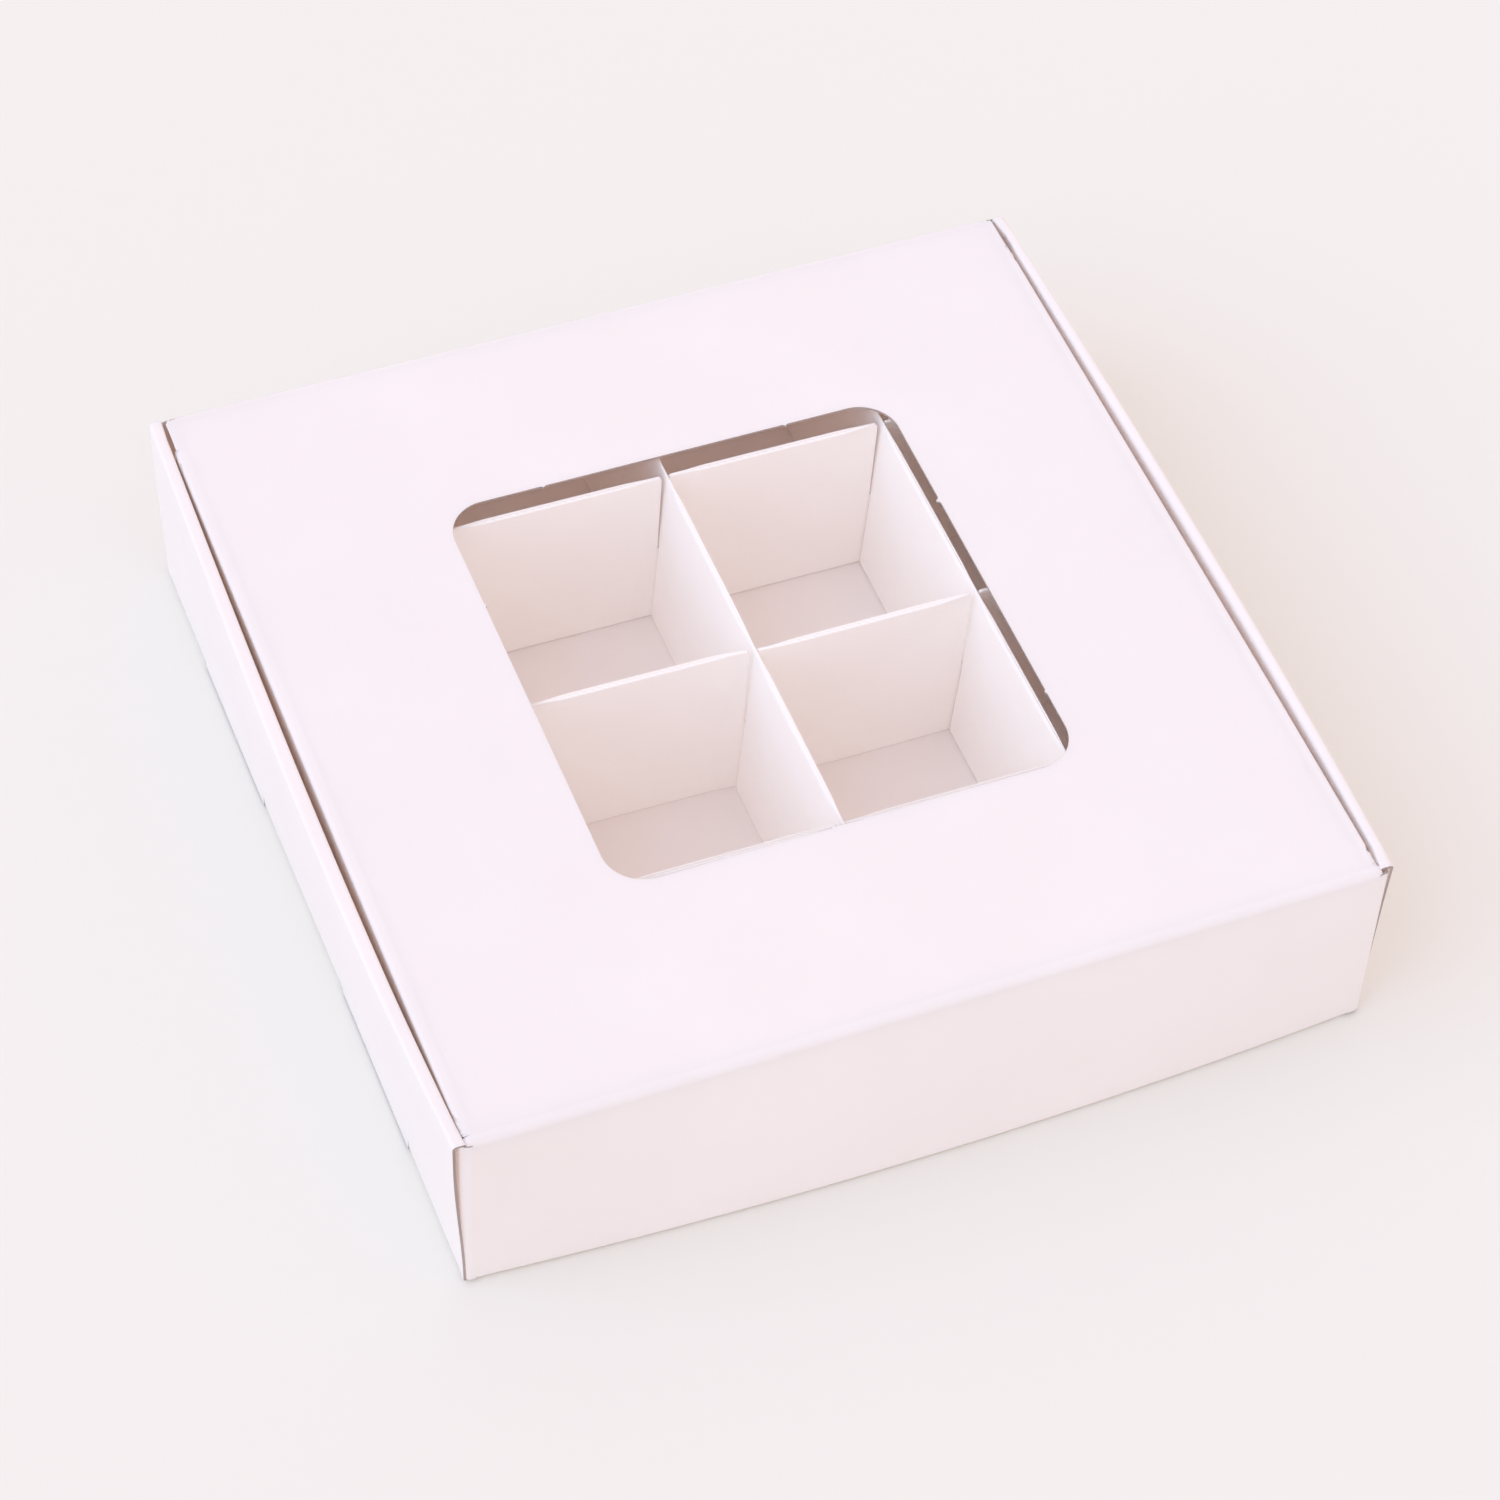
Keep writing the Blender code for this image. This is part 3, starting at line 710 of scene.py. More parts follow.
# %% Build the end walls
def end_wall(name, end, head, nodes):
    """Wall at one end of the box: its flat part up to `head`, the fold to the base, and both corner flaps."""
    y_wall = abs(HINGE_Y)
    rows = wall_rows if head <= CREASE_STOP else np.append(wall_rows, head)
    flat = carried(np.stack([np.full(len(rows), end * y_wall), rows], axis=1), wall_columns)
    fold = rounded_path([(BASE_END, HALF), (y_wall, HALF), (y_wall, CREASE_START)], [BASE_CREASE], [2, 1])
    grids = [racked(flat, end), racked(carried(fold * (end, 1), wall_columns), end)]
    for side in (-1, 1):
        grids.append(corner_part(side, end, wall_rows, 0))
        grids.append(corner_part(side, end, np.array([CREASE_STOP, FLAP_HEAD if end < 0 else head]), 3))
        grids.append(corner_part(side, end, np.array([FLAP_FOOT, CREASE_START]), 0))
    piece = board(name, grids, (0, end, 0), BLANK)
    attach(piece, "box")
    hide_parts(*nodes)


end_wall("hinge_wall_sheet", -1, CREASE_STOP,
         ("hinge_wall", "hinge_left_corner_flap", "hinge_right_corner_flap"))
end_wall("front_wall_sheet", 1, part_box("front_wall")[1].z - FRONT_DROP,
         ("front_wall", "front_left_corner_flap", "front_right_corner_flap"))

# %% [markdown]
# ## The lid and its window
# The lid is a ring of board round the window. Its grid runs round the window's outline one way and out to
# the lid's creases the other way, so that both borders are followed exactly. The steel rule that cuts the
# window has small breaks, which hold the waste until it is pushed out and leave a little nick each.

# %% Outline of the window
WINDOW_MIDDLE = (0.78 * MM, 0.87 * MM)
WINDOW_HALF = (46.45 * MM, 47.98 * MM)
WINDOW_ROUND = 8.0 * MM
WINDOW_PITCH = 2.2 * MM
LID_FLAT_SIDE = 87.0 * MM
LID_FLAT_NEAR = HINGE_Y + HINGE_ROLL + ROLL_LEAD
LID_FLAT_FAR = 87.9 * MM
NICKS = (  # side, place along the axis of that side, height, half width
    (0, 20.5 * MM, 0.75 * MM, 0.40 * MM), (0, -30.5 * MM, 0.35 * MM, 0.30 * MM),
    (1, -24.8 * MM, 0.35 * MM, 0.30 * MM), (1, 26.0 * MM, 0.35 * MM, 0.30 * MM),
    (2, 23.8 * MM, 0.35 * MM, 0.30 * MM),
    (3, -23.8 * MM, 0.30 * MM, 0.30 * MM), (3, -3.0 * MM, 0.30 * MM, 0.30 * MM),
)
NICK_STEPS = np.linspace(-2.4, 2.4, 13)
OUTWARD = np.array([(1, 0), (0, 1), (-1, 0), (0, -1)], float)
ONWARD = np.array([(0, 1), (-1, 0), (0, -1), (1, 0)], float)
lid_limits = np.array([LID_MIDDLE + LID_FLAT_SIDE, LID_FLAT_FAR, LID_MIDDLE - LID_FLAT_SIDE, LID_FLAT_NEAR])


def window_side(number):
    """Straight side: points on the window's edge, their nicks, and their partners on the lid's border."""
    axis = 0 if number % 2 == 0 else 1
    middle, half = np.array(WINDOW_MIDDLE), np.array(WINDOW_HALF)
    reach, length = half[axis], half[1 - axis] - WINDOW_ROUND
    onward, outward = ONWARD[number], OUTWARD[number]
    direction = onward[1 - axis]
    nicks = [((place - middle[1 - axis]) * direction, height, width)
             for which, place, height, width in NICKS if which == number]
    marks = [place + width * step for place, height, width in nicks for step in NICK_STEPS]
    along = spaced(-length, length, WINDOW_PITCH, marks)
    nick = np.zeros(len(along))
    for place, height, width in nicks:
        nick += height * np.exp(-((along - place) / width) ** 2)
    inner = middle + reach * outward + along[:, None] * onward
    border = inner.copy()
    border[:, axis] = lid_limits[number]
    return inner, -nick[:, None] * outward, border


def window_corner(number, start, stop):
    """Rounded corner after a side: a quarter circle, whose partners go round the lid's own corner."""
    middle, half = np.array(WINDOW_MIDDLE), np.array(WINDOW_HALF)
    outward, onward = OUTWARD[number], ONWARD[number]
    centre = middle + (half - WINDOW_ROUND) * (outward + onward)
    angle = np.linspace(0, pi / 2, 17)[1:-1, None]
    inner = centre + WINDOW_ROUND * (np.cos(angle) * outward + np.sin(angle) * onward)
    corner = np.where(np.abs(outward) > 0, start, stop)
    share = angle / (pi / 2)
    before, after = start + (corner - start) * 2 * share, corner + (stop - corner) * (2 * share - 1)
    border = np.where(share < 0.5, before, after)
    return inner, np.zeros_like(inner), border


sides = [window_side(number) for number in range(4)]
outline = []
for number in range(4):
    after = sides[(number + 1) % 4]
    outline += [sides[number], window_corner(number, sides[number][2][-1], after[2][0])]
edge, nick, border = (np.concatenate([part[kind] for part in outline]) for kind in range(3))
print("points round the window:", len(edge))

# %% [markdown]
# ### From the window's edge to the creases
# Boolean cutting would leave long thin faces round the window. Rings keep the faces even: they lie close
# together near the edge, where the nicks fade out, and further apart towards the creases. Half way the sheet
# rises by a tenth of a millimetre, because board is never quite flat.

# %% Build the lid
LID_RISE = 0.10 * MM
NICK_FADE = 1.4 * MM
near_rings = np.array([0.0, 0.3, 0.8, 1.6, 3.0]) * MM
far_rings = np.linspace(0.12, 1.0, 14)


def lid_grid():
    """Rings from the window out to the creases: edge + (border - edge) share, raised a little in between."""
    reach = np.linalg.norm(border - edge, axis=1)
    even = np.repeat(far_rings[:, None], len(edge), axis=1)
    shares = np.concatenate([near_rings[:, None] / reach, even])[..., None]
    flat = edge + (border - edge) * shares
    flat += nick * (1.0 - ease(reach[:, None] * shares / NICK_FADE))
    grid = np.empty(flat.shape[:2] + (3,))
    grid[..., :2] = flat
    grid[..., 2] = SHEET_TOP + LID_RISE * np.sin(pi * shares[..., 0]) ** 2
    return np.concatenate([grid, grid[:, :1]], axis=1)


lid = board("lid_sheet", [lid_grid()], (0, 0, 1), (lid_face, lid_inside, raw_edge))
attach(lid, "lid")
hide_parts("lid_panel")

# %% [markdown]
# ## Creases that bend
# Where the lid meets the hinge wall, and where its flaps hang from it, the board bends in a soft roll. Two
# stiff parts would part at the crease as the lid turns. Here the roll is a strip of its own between the
# hinge wall and the lid. Its ends drop a little, and its foot follows the slow curve of the near left corner.

# %% The roll between the hinge wall and the lid
ROLL_LEFT, ROLL_RIGHT = -89.25 * MM, 88.7 * MM
EDGE_START, EDGE_DROP_RADIUS, EDGE_FINE = 1.3 * MM, 1.6 * MM, 2.5 * MM
ARC_SHARE = 0.98  # the part of a quarter circle that is used, so that its slope stays finite
roll_corners = [(HINGE_Y, CREASE_STOP), (HINGE_Y, SHEET_TOP), (LID_FLAT_NEAR, SHEET_TOP)]
hinge_path = rounded_path(roll_corners, [HINGE_ROLL], [1, 1], 16)
roll_ends = [*np.linspace(ROLL_LEFT, ROLL_LEFT + EDGE_FINE, 12),
             *np.linspace(ROLL_RIGHT - EDGE_FINE, ROLL_RIGHT, 12)]
roll_grid = carried(hinge_path, spaced(ROLL_LEFT, ROLL_RIGHT, WIDE_PITCH, roll_ends))


def arc_drop(distance, radius):
    """Drop of a quarter circle at a distance past its start: r - sqrt(r^2 - d^2)."""
    d = np.clip(distance, 0.0, ARC_SHARE * radius)
    return radius - np.sqrt(radius ** 2 - d ** 2)


left_x, left_y = corner_path(-1).T
in_wall = left_x < FLAP_X[-1]
bent_back = np.interp(-roll_grid[..., 0] - RACK, left_x[in_wall], abs(HINGE_Y) - left_y[in_wall])
lid_share = np.clip((roll_grid[..., 1] - HINGE_Y) / HINGE_ROLL, 0.0, 1.0)
edge_past = np.maximum(ROLL_LEFT + EDGE_START - roll_grid[..., 0],
                       roll_grid[..., 0] - ROLL_RIGHT + EDGE_START)
roll_grid[..., 1] += bent_back * (1.0 - lid_share)
roll_grid[..., 2] -= arc_drop(edge_past, EDGE_DROP_RADIUS) * lid_share
roll = board("lid_hinge_roll", [roll_grid], (0, -1, 1), BLANK)
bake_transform(roll)

# %% [markdown]
# ### A flap cut to length
# A flap goes on from its roll: a path from the lid round the crease and down, cut to the flap's own length at
# each station along the crease. Tapered and rounded ends come from the lengths alone, and the grid stays
# regular. Its points lie close together round the roll, and further apart below.

# %% Cut a path to a length at each station
FINE_RUN = 4.0 * MM


def flap_grid(path, lengths):
    """Path cut to a length at each station: point at distance share x length, found along the path."""
    run = np.concatenate([[0.0], np.cumsum(np.linalg.norm(np.diff(path, axis=0), axis=1))])
    longest = lengths.max()
    fine, even = run[run < FINE_RUN] / longest, np.linspace(FINE_RUN / longest, 1.0, 9)
    share = np.unique(np.concatenate([fine, even]))
    reach = lengths[:, None] * share[None, :]
    return np.stack([np.interp(reach, run, path[:, 0]), np.interp(reach, run, path[:, 1])], axis=-1)


# %% [markdown]
# ### The dust flaps
# A dust flap hangs from each side of the lid inside the rolled wall, and is glimpsed in the slit between
# them. Where the flap has been cut away at its ends, the lid's own edge still rolls over a little.

# %% Build the dust flaps
DUST_LENGTH, DUST_TAPER = 18.0 * MM, 6.0 * MM
DUST_NEAR, DUST_FAR = -87.8 * MM, 80.5 * MM
DUST_ROLLS = {-1: 0.5 * MM, 1: 0.35 * MM}
DUST_SPRING = {-1: 0.032, 1: 0.0}
DUST_EDGE, DUST_MARGIN = 1.3 * MM, 0.4 * MM
EDGE_OUT = {-1: (0.25 * MM, 0.35 * MM), 1: (0.15 * MM, 0.27 * MM)}


def dust_flap(label, side):
    """Flap at a side of the lid, tapered at both ends, where the lid's edge still rolls over a little.

    The roll is carried out by a part of the wall's own bow, in proportion to its distance past the lid. On
    the left the flap springs out a little as well, in proportion to its depth.
    """
    roll = DUST_ROLLS[side]
    corners = [(LID_FLAT_SIDE, SHEET_TOP), (SIDE_CREASE, SHEET_TOP), (SIDE_CREASE, SHEET_TOP - DUST_LENGTH)]
    path = rounded_path(corners, [roll], [2, 12], 12)
    total = np.linalg.norm(np.diff(path, axis=0), axis=1).sum()
    marks = [*np.linspace(DUST_NEAR - DUST_MARGIN, DUST_NEAR + DUST_TAPER, 14),
             *np.linspace(DUST_FAR - DUST_TAPER, DUST_FAR, 12)]
    stations = spaced(LID_FLAT_NEAR, LID_FLAT_FAR, FINE_PITCH, marks)
    slope = np.minimum(stations - DUST_NEAR, DUST_FAR - stations) / DUST_TAPER
    lengths = DUST_EDGE + (total - DUST_EDGE) * np.clip(slope, 0.0, 1.0)
    profile = flap_grid(path, lengths)
    still, bulge = EDGE_OUT[side]
    past = ease((profile[..., 0] - LID_FLAT_SIDE) / (SIDE_CREASE - LID_FLAT_SIDE))
    share = bow_share(stations)[:, None]
    out = past * (still + bulge * share) + DUST_SPRING[side] * share * (SHEET_TOP - profile[..., 1])
    along = np.repeat(stations[:, None], profile.shape[1], axis=1)
    grid = np.stack([LID_MIDDLE + side * (profile[..., 0] + out), along, profile[..., 1]], axis=-1)
    piece = board(f"{label}_dust_sheet", [grid], (side, 0, 0.2), BLANK)
    body = f"{label}_dust_flap"
    # below its roll the flap's outer faces get the darker tint, which is painted shade deep in the slit
    retint(piece, slit_shade, lambda middle, normal: middle[:, 2] < SHEET_TOP - roll)
    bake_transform(piece)
    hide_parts(body)


dust_flap("left", -1)
dust_flap("right", 1)

# %% [markdown]
# ### The tuck flap
# The flap at the far edge goes down behind the front wall. Its corners are rounded, so that it finds its way
# in, and it leans in a little. Beside it the lid's edge curls down over the front wall's corners.

# %% Build the tuck flap
TUCK_LENGTH, TUCK_SIDE, TUCK_ROUND = 18.0 * MM, 85.05 * MM, 12.0 * MM
TUCK_ROLL = 0.5 * MM
TUCK_REACH, TUCK_CURL = 88.4 * MM, 0.3 * MM
TUCK_LEAN = radians(6.15)


def tuck_flap():
    """Flap that is short by r - sqrt(r^2 - d^2) at its round corners, at a distance d into them."""
    foot = (TUCK_CREASE - TUCK_LENGTH * sin(TUCK_LEAN), SHEET_TOP - TUCK_LENGTH * cos(TUCK_LEAN))
    path = rounded_path([(LID_FLAT_FAR, SHEET_TOP), (TUCK_CREASE, SHEET_TOP), foot], [TUCK_ROLL], [1, 12], 10)
    total = np.linalg.norm(np.diff(path, axis=0), axis=1).sum()
    bend = TUCK_ROUND * (1 - np.cos(np.linspace(0, pi / 2, 14)))
    stations = spaced(-TUCK_REACH, TUCK_REACH, WIDE_PITCH, [*(-TUCK_SIDE + bend), *(TUCK_SIDE - bend)])
    inside = TUCK_SIDE - np.abs(stations)
    short = np.clip(TUCK_ROUND - inside, 0.0, TUCK_ROUND)
    rounded = total - TUCK_ROUND + np.sqrt(np.maximum(TUCK_ROUND ** 2 - short ** 2, 0.0))
    lengths = np.where(inside < 0, TUCK_CREASE + TUCK_CURL - LID_FLAT_FAR, rounded)
    profile = flap_grid(path, lengths)
    across = np.repeat(LID_MIDDLE + stations[:, None], profile.shape[1], axis=1)
    grid = np.stack([across, profile[..., 0], profile[..., 1]], axis=-1)
    piece = board("tuck_flap_sheet", [grid], (0, 1, 0), BLANK)
    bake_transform(piece)
    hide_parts("tuck_flap")


tuck_flap()

# %% [markdown]
# ## The window film
# A clear film is glued under the lid, a little wider than the window. It can hardly be seen, and only takes a
# faint sheen from the light. Glass with refraction would darken the cells behind such a thin sheet, so its
# material is an ordinary one with a very low alpha, and the sheet ripples by less than its own thickness.

# %% Build the film
FILM_RIPPLE, RIPPLE_X, RIPPLE_Y = 0.03 * MM, 9.0 * MM, 11.0 * MM
FILM_TINT, FILM_ROUGHNESS = (0.97, 0.97, 0.98, 1), 0.12
LEAST_ALPHA, ALPHA_PLAY = 0.01, 0.03
SHEEN_SCALE, SHEEN_WAVE = 22.0, 0.3 * MM
film_low, film_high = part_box("window_film")


def clear_film():
    """Almost invisible plastic: a low alpha, a smooth shader and a slow ripple in its sheen."""
    material, shader, wire = new_material("clear_film")
    ripple = noise(wire, SHEEN_SCALE, 2.0)
    link(ripple * ALPHA_PLAY + LEAST_ALPHA, shader.inputs["Alpha"])
    link(bumped(ripple * SHEEN_WAVE), shader.inputs["Normal"])
    shader.inputs["Base Color"].default_value = FILM_TINT
    shader.inputs["Roughness"].default_value = FILM_ROUGHNESS
    return material


def film_grid():
    """Flat sheet with ripples: height + ripple sin(x / 9 mm) sin(y / 11 mm)."""
    xs, ys = spaced(film_low.x, film_high.x, FINE_PITCH), spaced(film_low.y, film_high.y, FINE_PITCH)
    grid = level_grid(xs, ys, (film_low.z + film_high.z) / 2)
    grid[..., 2] += FILM_RIPPLE * np.sin(grid[..., 0] / RIPPLE_X) * np.sin(grid[..., 1] / RIPPLE_Y)
    return grid


film_thickness = film_high.z - film_low.z - 2 * FILM_RIPPLE
film = board("film_sheet", [film_grid()], (0, 0, 1), [clear_film()] * 3, film_thickness)
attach(film, "lid")
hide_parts("window_film")

# %% [markdown]
# ## The divider
# Six strips cross at half laps: three along the box with slots from below, three across it with slots from
# above. Each strip is folded double along its top, so its two plies stand a little apart between the slots
# and are pinched together in them. That gives the top edge its lens shape. A strip is a middle surface with
# a half thickness at every point, widest at the top between two slots, and drawn in over the last fraction
# of a millimetre to round the fold. Solidify has one thickness, so these sheets are thickened by hand.

# %% Measures and thickness of a strip
STRIP_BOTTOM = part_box("long_strip_2")[0].z
STRIP_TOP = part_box("long_strip_2")[1].z
MIDDLE_Z = (STRIP_BOTTOM + STRIP_TOP) / 2
STRIP_LEAN = 1.4 * MM
PLY_GAP = 0.10 * MM
PLY_BULGE = 0.33 * MM
LENS_START, LENS_RUN = 0.03, 0.15
LAP = 0.2 * MM
CROSS_FOLD = {"rise": 0.3 * MM, "flat": 0.78, "groove": 0.42 * MM, "crown": 0.06 * MM}
LONG_FOLD = {"rise": 1.2 * MM, "flat": 0.52, "groove": 0.12 * MM, "crown": 0.10 * MM}
RIM_PLACES = np.array([0.85, 0.66, 0.46, 0.30, 0.16, 0.0])
GROOVE_REACH = 0.5
FOLD_SHARP = radians(50)
cross_x = [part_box(f"long_strip_{n}")[0].x + HALF for n in (1, 2, 3)]
long_y = [(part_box(f"cross_strip_{n}")[0].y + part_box(f"cross_strip_{n}")[1].y) / 2 for n in (1, 2, 3)]
print("strips at x", np.round(np.array(cross_x) / MM, 2), "and y", np.round(np.array(long_y) / MM, 2))


def lean_at(z):
    """How far a long strip has leaned to the right at height z."""
    return STRIP_LEAN * (z - STRIP_BOTTOM) / (STRIP_TOP - STRIP_BOTTOM)


def lens(share, z):
    """How far the plies have come apart: ease over the way from a slot, times ease over the height."""
    away = ease((np.minimum(share, 1.0 - share) - LENS_START) / LENS_RUN)
    return away * ease((z - MIDDLE_Z) / (STRIP_TOP - MIDDLE_Z))


def half_thickness(share, z, fold):
    """Half of a strip's thickness: board / 2 + ply gap + bulge x lens, drawn in at the fold.

    Over the fold's rise the half is multiplied by sqrt(1 - (1 - flat^2) t^2), with t from 0 to 1.
    """
    half = HALF + PLY_GAP * ease((z - MIDDLE_Z) / (STRIP_TOP - MIDDLE_Z)) + PLY_BULGE * lens(share, z)
    t = np.clip((z - STRIP_TOP + fold["rise"]) / fold["rise"], 0.0, 1.0)
    return half * np.sqrt(1.0 - (1.0 - fold["flat"] ** 2) * t ** 2)


# %% [markdown]
# ### From a middle surface to a closed solid
# The two faces are the middle surface moved by the half thickness to either side. Every edge that belongs to
# one cell only is open, and gets a rim: flat along the cuts, and a small ridge, groove and ridge along the
# folded top. Points that belong to no face are left out.

# %% Join the parts of a strip
def merged(points, cells, *values):
    """Points that coincide made one, the cells numbered anew, and the values of the points that stay."""
    key = np.round(points / WELD).astype(np.int64)
    _, first, back = np.unique(key, axis=0, return_index=True, return_inverse=True)
    return points[first], back.reshape(-1)[cells], *(value[first] for value in values)


def turned(points, cells, across):
    """Cells that all face the way `across` points: a cell whose normal does not is reversed."""
    a, b, c = (points[cells[:, i]] for i in range(3))
    wrong = np.cross(b - a, c - b) @ across < 0
    return np.where(wrong[:, None], cells[:, ::-1], cells)


def open_sides(cells, count):
    """Pairs of corners along the edges of one cell only: those that no other cell runs the other way."""
    sides = np.concatenate([cells[:, [i, (i + 1) % 4]] for i in range(4)])
    twice = np.isin(sides[:, 0] * count + sides[:, 1], sides[:, 1] * count + sides[:, 0])
    return sides[~twice]


# %% Close a strip
def strip(name, parts, fold, across, node):
    """Closed solid from parts (grid, halves, lens shares): two faces, and a rim along every open edge.

    Along the top the rim is the fold of the two plies. At the share u of the half thickness its height is
    crown sin(pi u) - groove lens (1 - ease(u / reach)): two low ridges with a groove between them.
    """
    points, cells = stitched([part[0] for part in parts])
    halves = np.concatenate([part[1].ravel() for part in parts])
    opened = np.concatenate([part[2].ravel() for part in parts])
    points, cells, halves, opened = merged(points, cells, halves, opened)
    count, across = len(points), np.array(across, float)
    cells = turned(points, cells, across)
    rim = open_sides(cells, count)
    on_top = points[:, 2] > STRIP_TOP - WELD
    places = np.concatenate([[1.0], RIM_PLACES, -RIM_PLACES[-2::-1], [-1.0]])
    layers = []
    for place in places:
        u = abs(place)
        height = fold["crown"] * sin(pi * u) - fold["groove"] * opened * (1.0 - ease(u / GROOVE_REACH))
        layer = points + across * (halves * place)[:, None]
        layer[:, 2] += on_top * height
        layers.append(layer)
    last = (len(places) - 1) * count
    start, stop = rim[:, 0], rim[:, 1]
    faces = [cells, cells[:, ::-1] + last]
    for number in range(len(places) - 1):
        near, far = number * count, (number + 1) * count
        faces.append(np.stack([stop + near, start + near, start + far, stop + far], axis=1))
    folded = np.tile(on_top[start] & on_top[stop], len(places) - 1)
    material = np.concatenate([np.zeros(2 * len(cells), bool), ~folded])
    used, faces = np.unique(np.concatenate(faces), return_inverse=True)
    faces = faces.reshape(-1, 4)
    mesh = bpy.data.meshes.new(name)
    mesh.from_pydata(np.concatenate(layers)[used].tolist(), [], faces.tolist())
    mesh.materials.append(divider)
    mesh.materials.append(divider_cut)
    mesh.polygons.foreach_set("material_index", material.astype(np.int32))
    shade(mesh, FOLD_SHARP)
    piece = add_object(name, mesh)
    mesh.validate()
    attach(piece, "insert")
    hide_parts(node)
    print(name, "faces:", len(faces))


def strip_part(x, y, z, share, fold):
    """One part of a strip: its middle surface, its half thickness and how far its plies have come apart."""
    share = np.broadcast_to(share, z.shape)
    return np.stack([x, y, z], axis=-1), half_thickness(share, z, fold), lens(share, z)


# %% [markdown]
# ### Strips across the box
# Each has three slots from above, wider at the mouth, because the long strips lean to the right in them. The
# mouths are rounded, most on the left. Its lower half runs through, and its upper half is four panels.

# %% Strips across the box
SLOT_HALF = HALF + 0.2 * MM
MOUTH_HALF = HALF + 0.3 * MM
LEFT_ROUND, LEFT_FLARE = 1.1 * MM, 0.5
RIGHT_ROUND, RIGHT_FLARE = 0.6 * MM, 0.6
cross_low, cross_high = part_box("cross_strip_2")
slot_floor = MIDDLE_Z - LAP
fold_rows = STRIP_TOP - np.array([1.2, 0.9, 0.65, 0.5, 0.36, 0.24, 0.13, 0.05, 0.0]) * MM
upper_rows = np.concatenate([np.linspace(slot_floor, fold_rows[0], 12)[:-1], fold_rows])
lower_rows = np.linspace(STRIP_BOTTOM, slot_floor, 9)
panel_shares = 0.5 - 0.5 * np.cos(np.linspace(0, pi, 37))


def flare(z, size):
    """How far a slot's mouth has opened at height z: r - sqrt(r^2 - t^2) over the last r of height."""
    t = np.clip(z - (STRIP_TOP - size), 0.0, size)
    return size - np.sqrt(size ** 2 - t ** 2)


def cross_strip(number, sway):
    """Strip along X: a lower half that runs through, and four upper panels between its slots."""
    lefts, rights = [np.full_like(upper_rows, cross_low.x)], []
    for x in cross_x:
        centre, mouth = x + lean_at(slot_floor), x + STRIP_LEAN + MOUTH_HALF
        rights.append(centre - SLOT_HALF - LEFT_FLARE * flare(upper_rows, LEFT_ROUND))
        slant = (upper_rows - slot_floor) / (STRIP_TOP - slot_floor)
        edge = centre + SLOT_HALF
        lefts.append(edge + (mouth - edge) * slant + RIGHT_FLARE * flare(upper_rows, RIGHT_ROUND))
    rights.append(np.full_like(upper_rows, cross_high.x))
    parts, lower_x = [], []
    for left, right in zip(lefts, rights):
        x = left[:, None] + (right - left)[:, None] * panel_shares
        z = np.repeat(upper_rows[:, None], len(panel_shares), axis=1)
        parts.append(strip_part(x, long_y[number - 1] + sway(x), z, panel_shares, CROSS_FOLD))
        lower_x.append(x[0])
    x = np.repeat(np.concatenate(lower_x)[None, :], len(lower_rows), axis=0)
    z = np.repeat(lower_rows[:, None], x.shape[1], axis=1)
    shares = np.tile(panel_shares, len(lower_x))
    parts.append(strip_part(x, long_y[number - 1] + sway(x), z, shares, CROSS_FOLD))
    strip(f"cross_strip_board_{number}", parts, CROSS_FOLD, (0, 1, 0), f"cross_strip_{number}")


# %% [markdown]
# ### Strips along the box
# These have their slots from below, so it is the upper half that runs through. Their folds are higher and
# narrower than those of the strips across. Each slot follows the strip that it sits on.

# %% Strips along the box
LONG_NEAR, LONG_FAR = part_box("long_strip_2")[0].y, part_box("long_strip_2")[1].y
slot_ceiling = MIDDLE_Z + LAP
head_rows = np.concatenate([np.linspace(slot_ceiling, fold_rows[0], 12)[:-1], fold_rows])
foot_rows = np.linspace(STRIP_BOTTOM, slot_ceiling, 9)


def long_strip(number, sways):
    """Strip along Y: an upper half that runs through, and four lower panels between its slots."""
    foot = cross_x[number - 1]
    crossings = [y + sway(np.array(foot + lean_at(MIDDLE_Z))) for y, sway in zip(long_y, sways)]
    parts, upper_y = [], []
    for start, stop in zip([LONG_NEAR] + [y + SLOT_HALF for y in crossings],
                           [y - SLOT_HALF for y in crossings] + [LONG_FAR]):
        y = np.repeat((start + (stop - start) * panel_shares)[None, :], len(foot_rows), axis=0)
        z = np.repeat(foot_rows[:, None], len(panel_shares), axis=1)
        parts.append(strip_part(foot + lean_at(z), y, z, panel_shares, LONG_FOLD))
        upper_y.append(y[0])
    y = np.repeat(np.concatenate(upper_y)[None, :], len(head_rows), axis=0)
    z = np.repeat(head_rows[:, None], y.shape[1], axis=1)
    parts.append(strip_part(foot + lean_at(z), y, z, np.tile(panel_shares, len(upper_y)), LONG_FOLD))
    strip(f"long_strip_board_{number}", parts, LONG_FOLD, (1, 0, 0), f"long_strip_{number}")


# %% [markdown]
# ### The divider as it lies
# The strips are loose in their slots, so those across the box don't lie quite straight: the near one stands
# off and slants, the middle one bends between its slots, and the far one slants a little.

# %% Build the divider
NEAR_OFF, NEAR_SLANT = 0.95 * MM, -0.0075
FAR_OFF, FAR_SLANT = -0.05 * MM, -0.008
BEND_X = np.array([-87.0, -42.0, -6.0, 2.0, 39.0, 87.0]) * MM
BEND_OFF = np.array([0.2, 0.1, -0.45, -1.3, -1.5, -1.2]) * MM
SWAYS = (
    lambda x: NEAR_OFF + NEAR_SLANT * x,
    lambda x: np.interp(x, BEND_X, BEND_OFF),
    lambda x: FAR_OFF + FAR_SLANT * x,
)
for number in (1, 2, 3):
    cross_strip(number, SWAYS[number - 1])
for number in (1, 2, 3):
    long_strip(number, SWAYS)

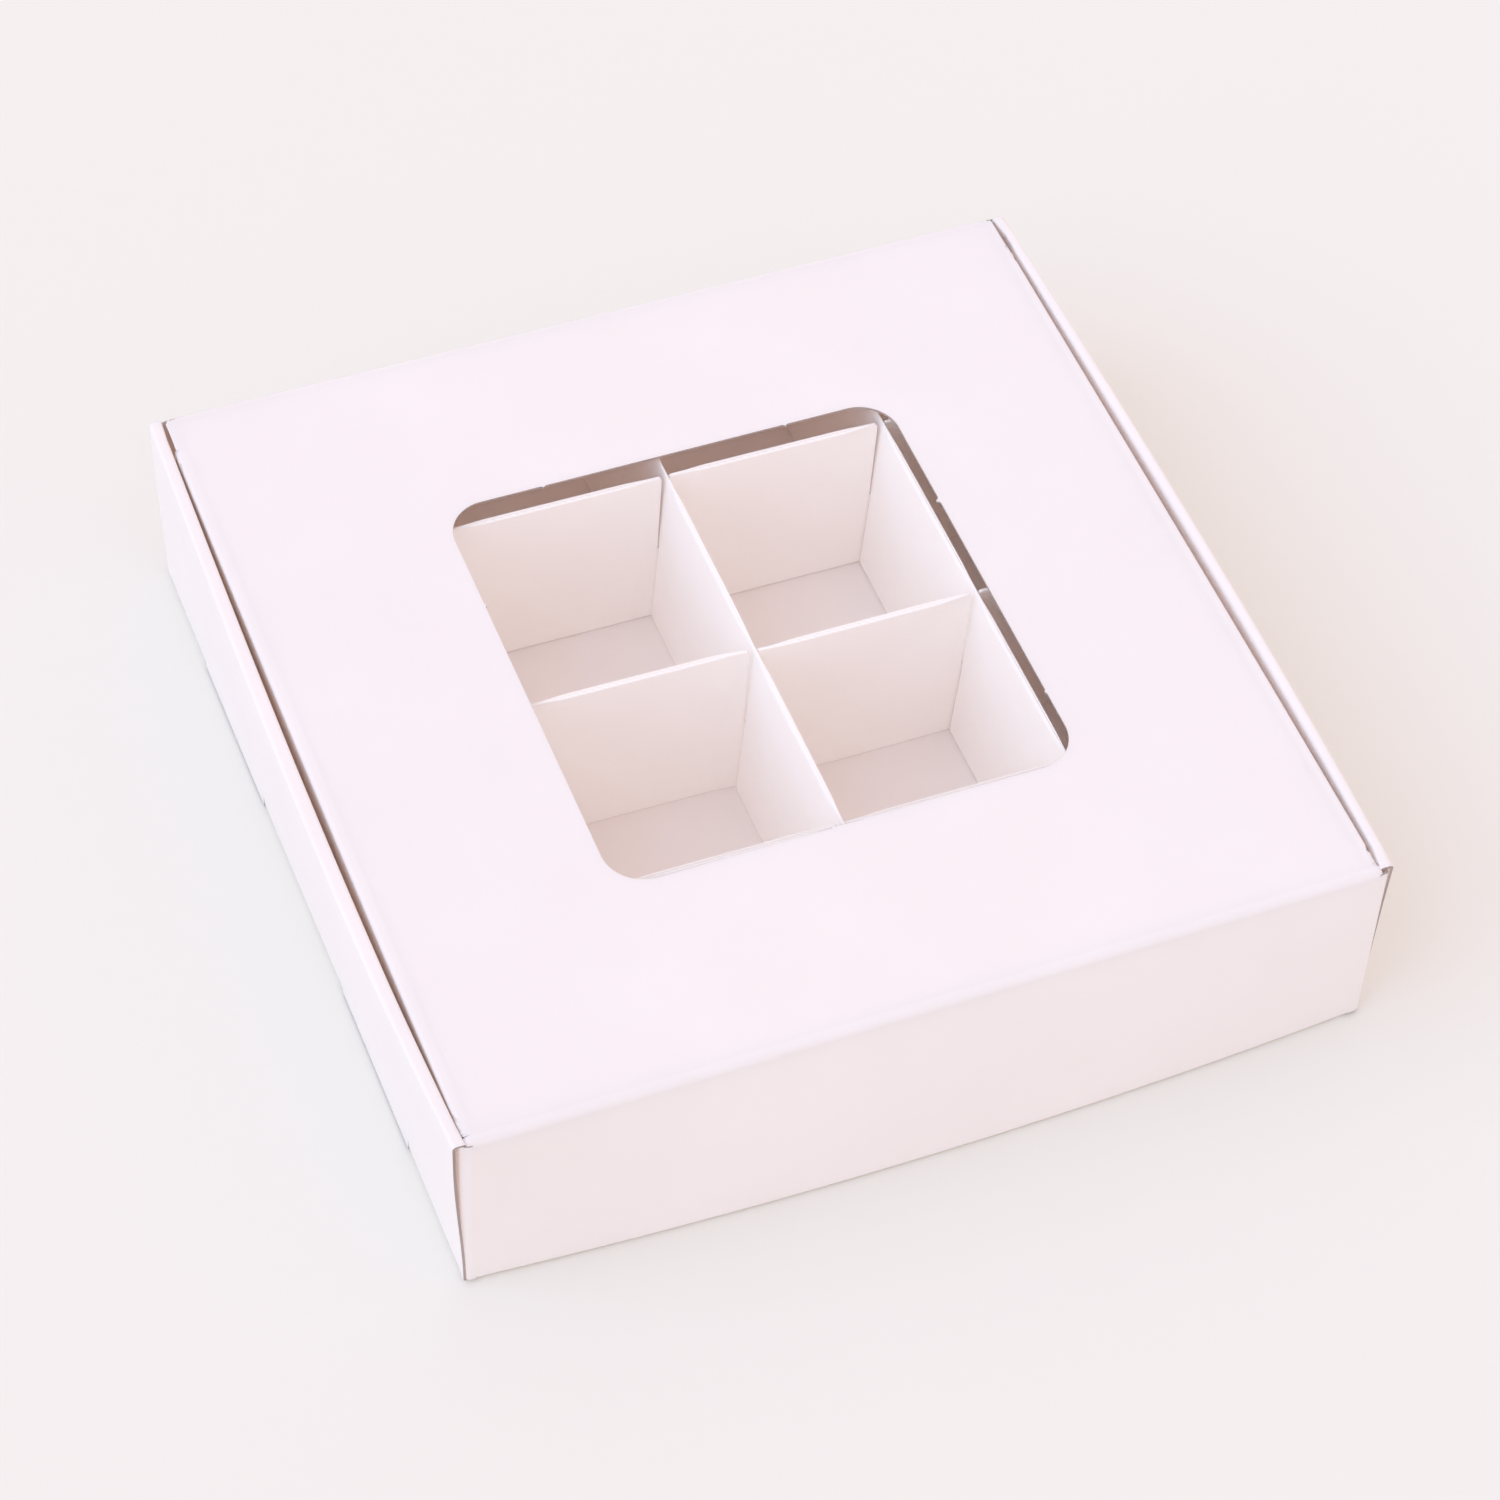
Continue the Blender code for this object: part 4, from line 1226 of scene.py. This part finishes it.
# %% [markdown]
# ## The floor
# The box stands on a plain pale floor that reaches past the view. It is a matt surface with hardly any
# pattern. It lies a fraction of a millimetre under the box, since thin board never touches it everywhere.

# %% Floor
FLOOR_GAP = 0.4 * MM
FLOOR_HALF = 6.0
FLOOR_LIGHT, FLOOR_DARK = (0.853, 0.846, 0.780, 1), (0.843, 0.836, 0.770, 1)


def floor_material():
    """Pale matt surface with the faintest cloudiness."""
    material, shader, wire = new_material("pale_floor")
    cloud = noise(wire, 3.0, 2.0)
    link(cloud.mix(FLOOR_LIGHT, FLOOR_DARK), shader.inputs["Base Color"])
    shader.inputs["Roughness"].default_value = 0.9
    shader.inputs["Specular IOR Level"].default_value = 0.1
    return material


floor_corners = [(x * FLOOR_HALF, y * FLOOR_HALF, -FLOOR_GAP)
                 for x, y in ((-1, -1), (1, -1), (1, 1), (-1, 1))]
floor_mesh = bpy.data.meshes.new("floor")
floor_mesh.from_pydata(floor_corners, [], [(0, 1, 2, 3)])
floor_mesh.materials.append(floor_material())
floor = add_object("floor", floor_mesh)
print("floor in metres:", [round(side, 2) for side in floor.dimensions])

# %% [markdown]
# ## The light
# Warm light comes from all round, as in a room with white walls, and a broad cool lamp shines across from the
# left like a window. A weak low glow from the left is the light that a bright wall there sends back. So the
# left wall is the coolest and brightest, the near wall is a little warmer and darker, and shadows on the
# right of things are warm and soft. Where the camera sees the world itself, Light Path shows the backdrop.

# %% World
ROOM_LIGHT = (1.003, 0.886, 0.914, 1)
BACKDROP = (0.905, 0.855, 0.870, 1)
world = bpy.data.worlds.new("white_room")
world.use_nodes = True
scene.world = world
room = world.node_tree.nodes["Background"]
room.inputs["Color"].default_value = ROOM_LIGHT
room_wire = Wire(world.node_tree)
seen = room_wire.node("ShaderNodeLightPath")
backdrop = room_wire.node("ShaderNodeBackground", None, {"Color": BACKDROP})
mixed = room_wire.node("ShaderNodeMixShader", None, {0: seen})
world.node_tree.links.new(room.outputs[0], mixed.socket.node.inputs[1])
world.node_tree.links.new(backdrop.socket, mixed.socket.node.inputs[2])
world.node_tree.links.new(mixed.socket, world.node_tree.nodes["World Output"].inputs["Surface"])
print("room light", ROOM_LIGHT[:3], "backdrop", BACKDROP[:3])

# %% Lamps
LAMPS = (  # name, strength, colour, spread in degrees, direction in which it shines
    ("window_lamp", 1.003, (0.321, 0.640, 1.0), 60, (0.75, 0.1, -0.65)),
    ("wall_glow", 0.13, (1.0, 0.95, 0.97), 70, (1.0, -0.15, -0.35)),
)
LIGHT_BOUNCES = 24
for name, strength, colour, spread, direction in LAMPS:
    lamp = bpy.data.objects.new(name, bpy.data.lights.new(name, "SUN"))
    scene.collection.objects.link(lamp)
    lamp.data.energy, lamp.data.color, lamp.data.angle = strength, colour, radians(spread)
    lamp.rotation_mode = "QUATERNION"
    lamp.rotation_quaternion = Vector(direction).to_track_quat("-Z", "Y")
    print(name, "shines along", direction)
scene.view_settings.view_transform = "Standard"
scene.cycles.max_bounces = LIGHT_BOUNCES
scene.cycles.diffuse_bounces = LIGHT_BOUNCES
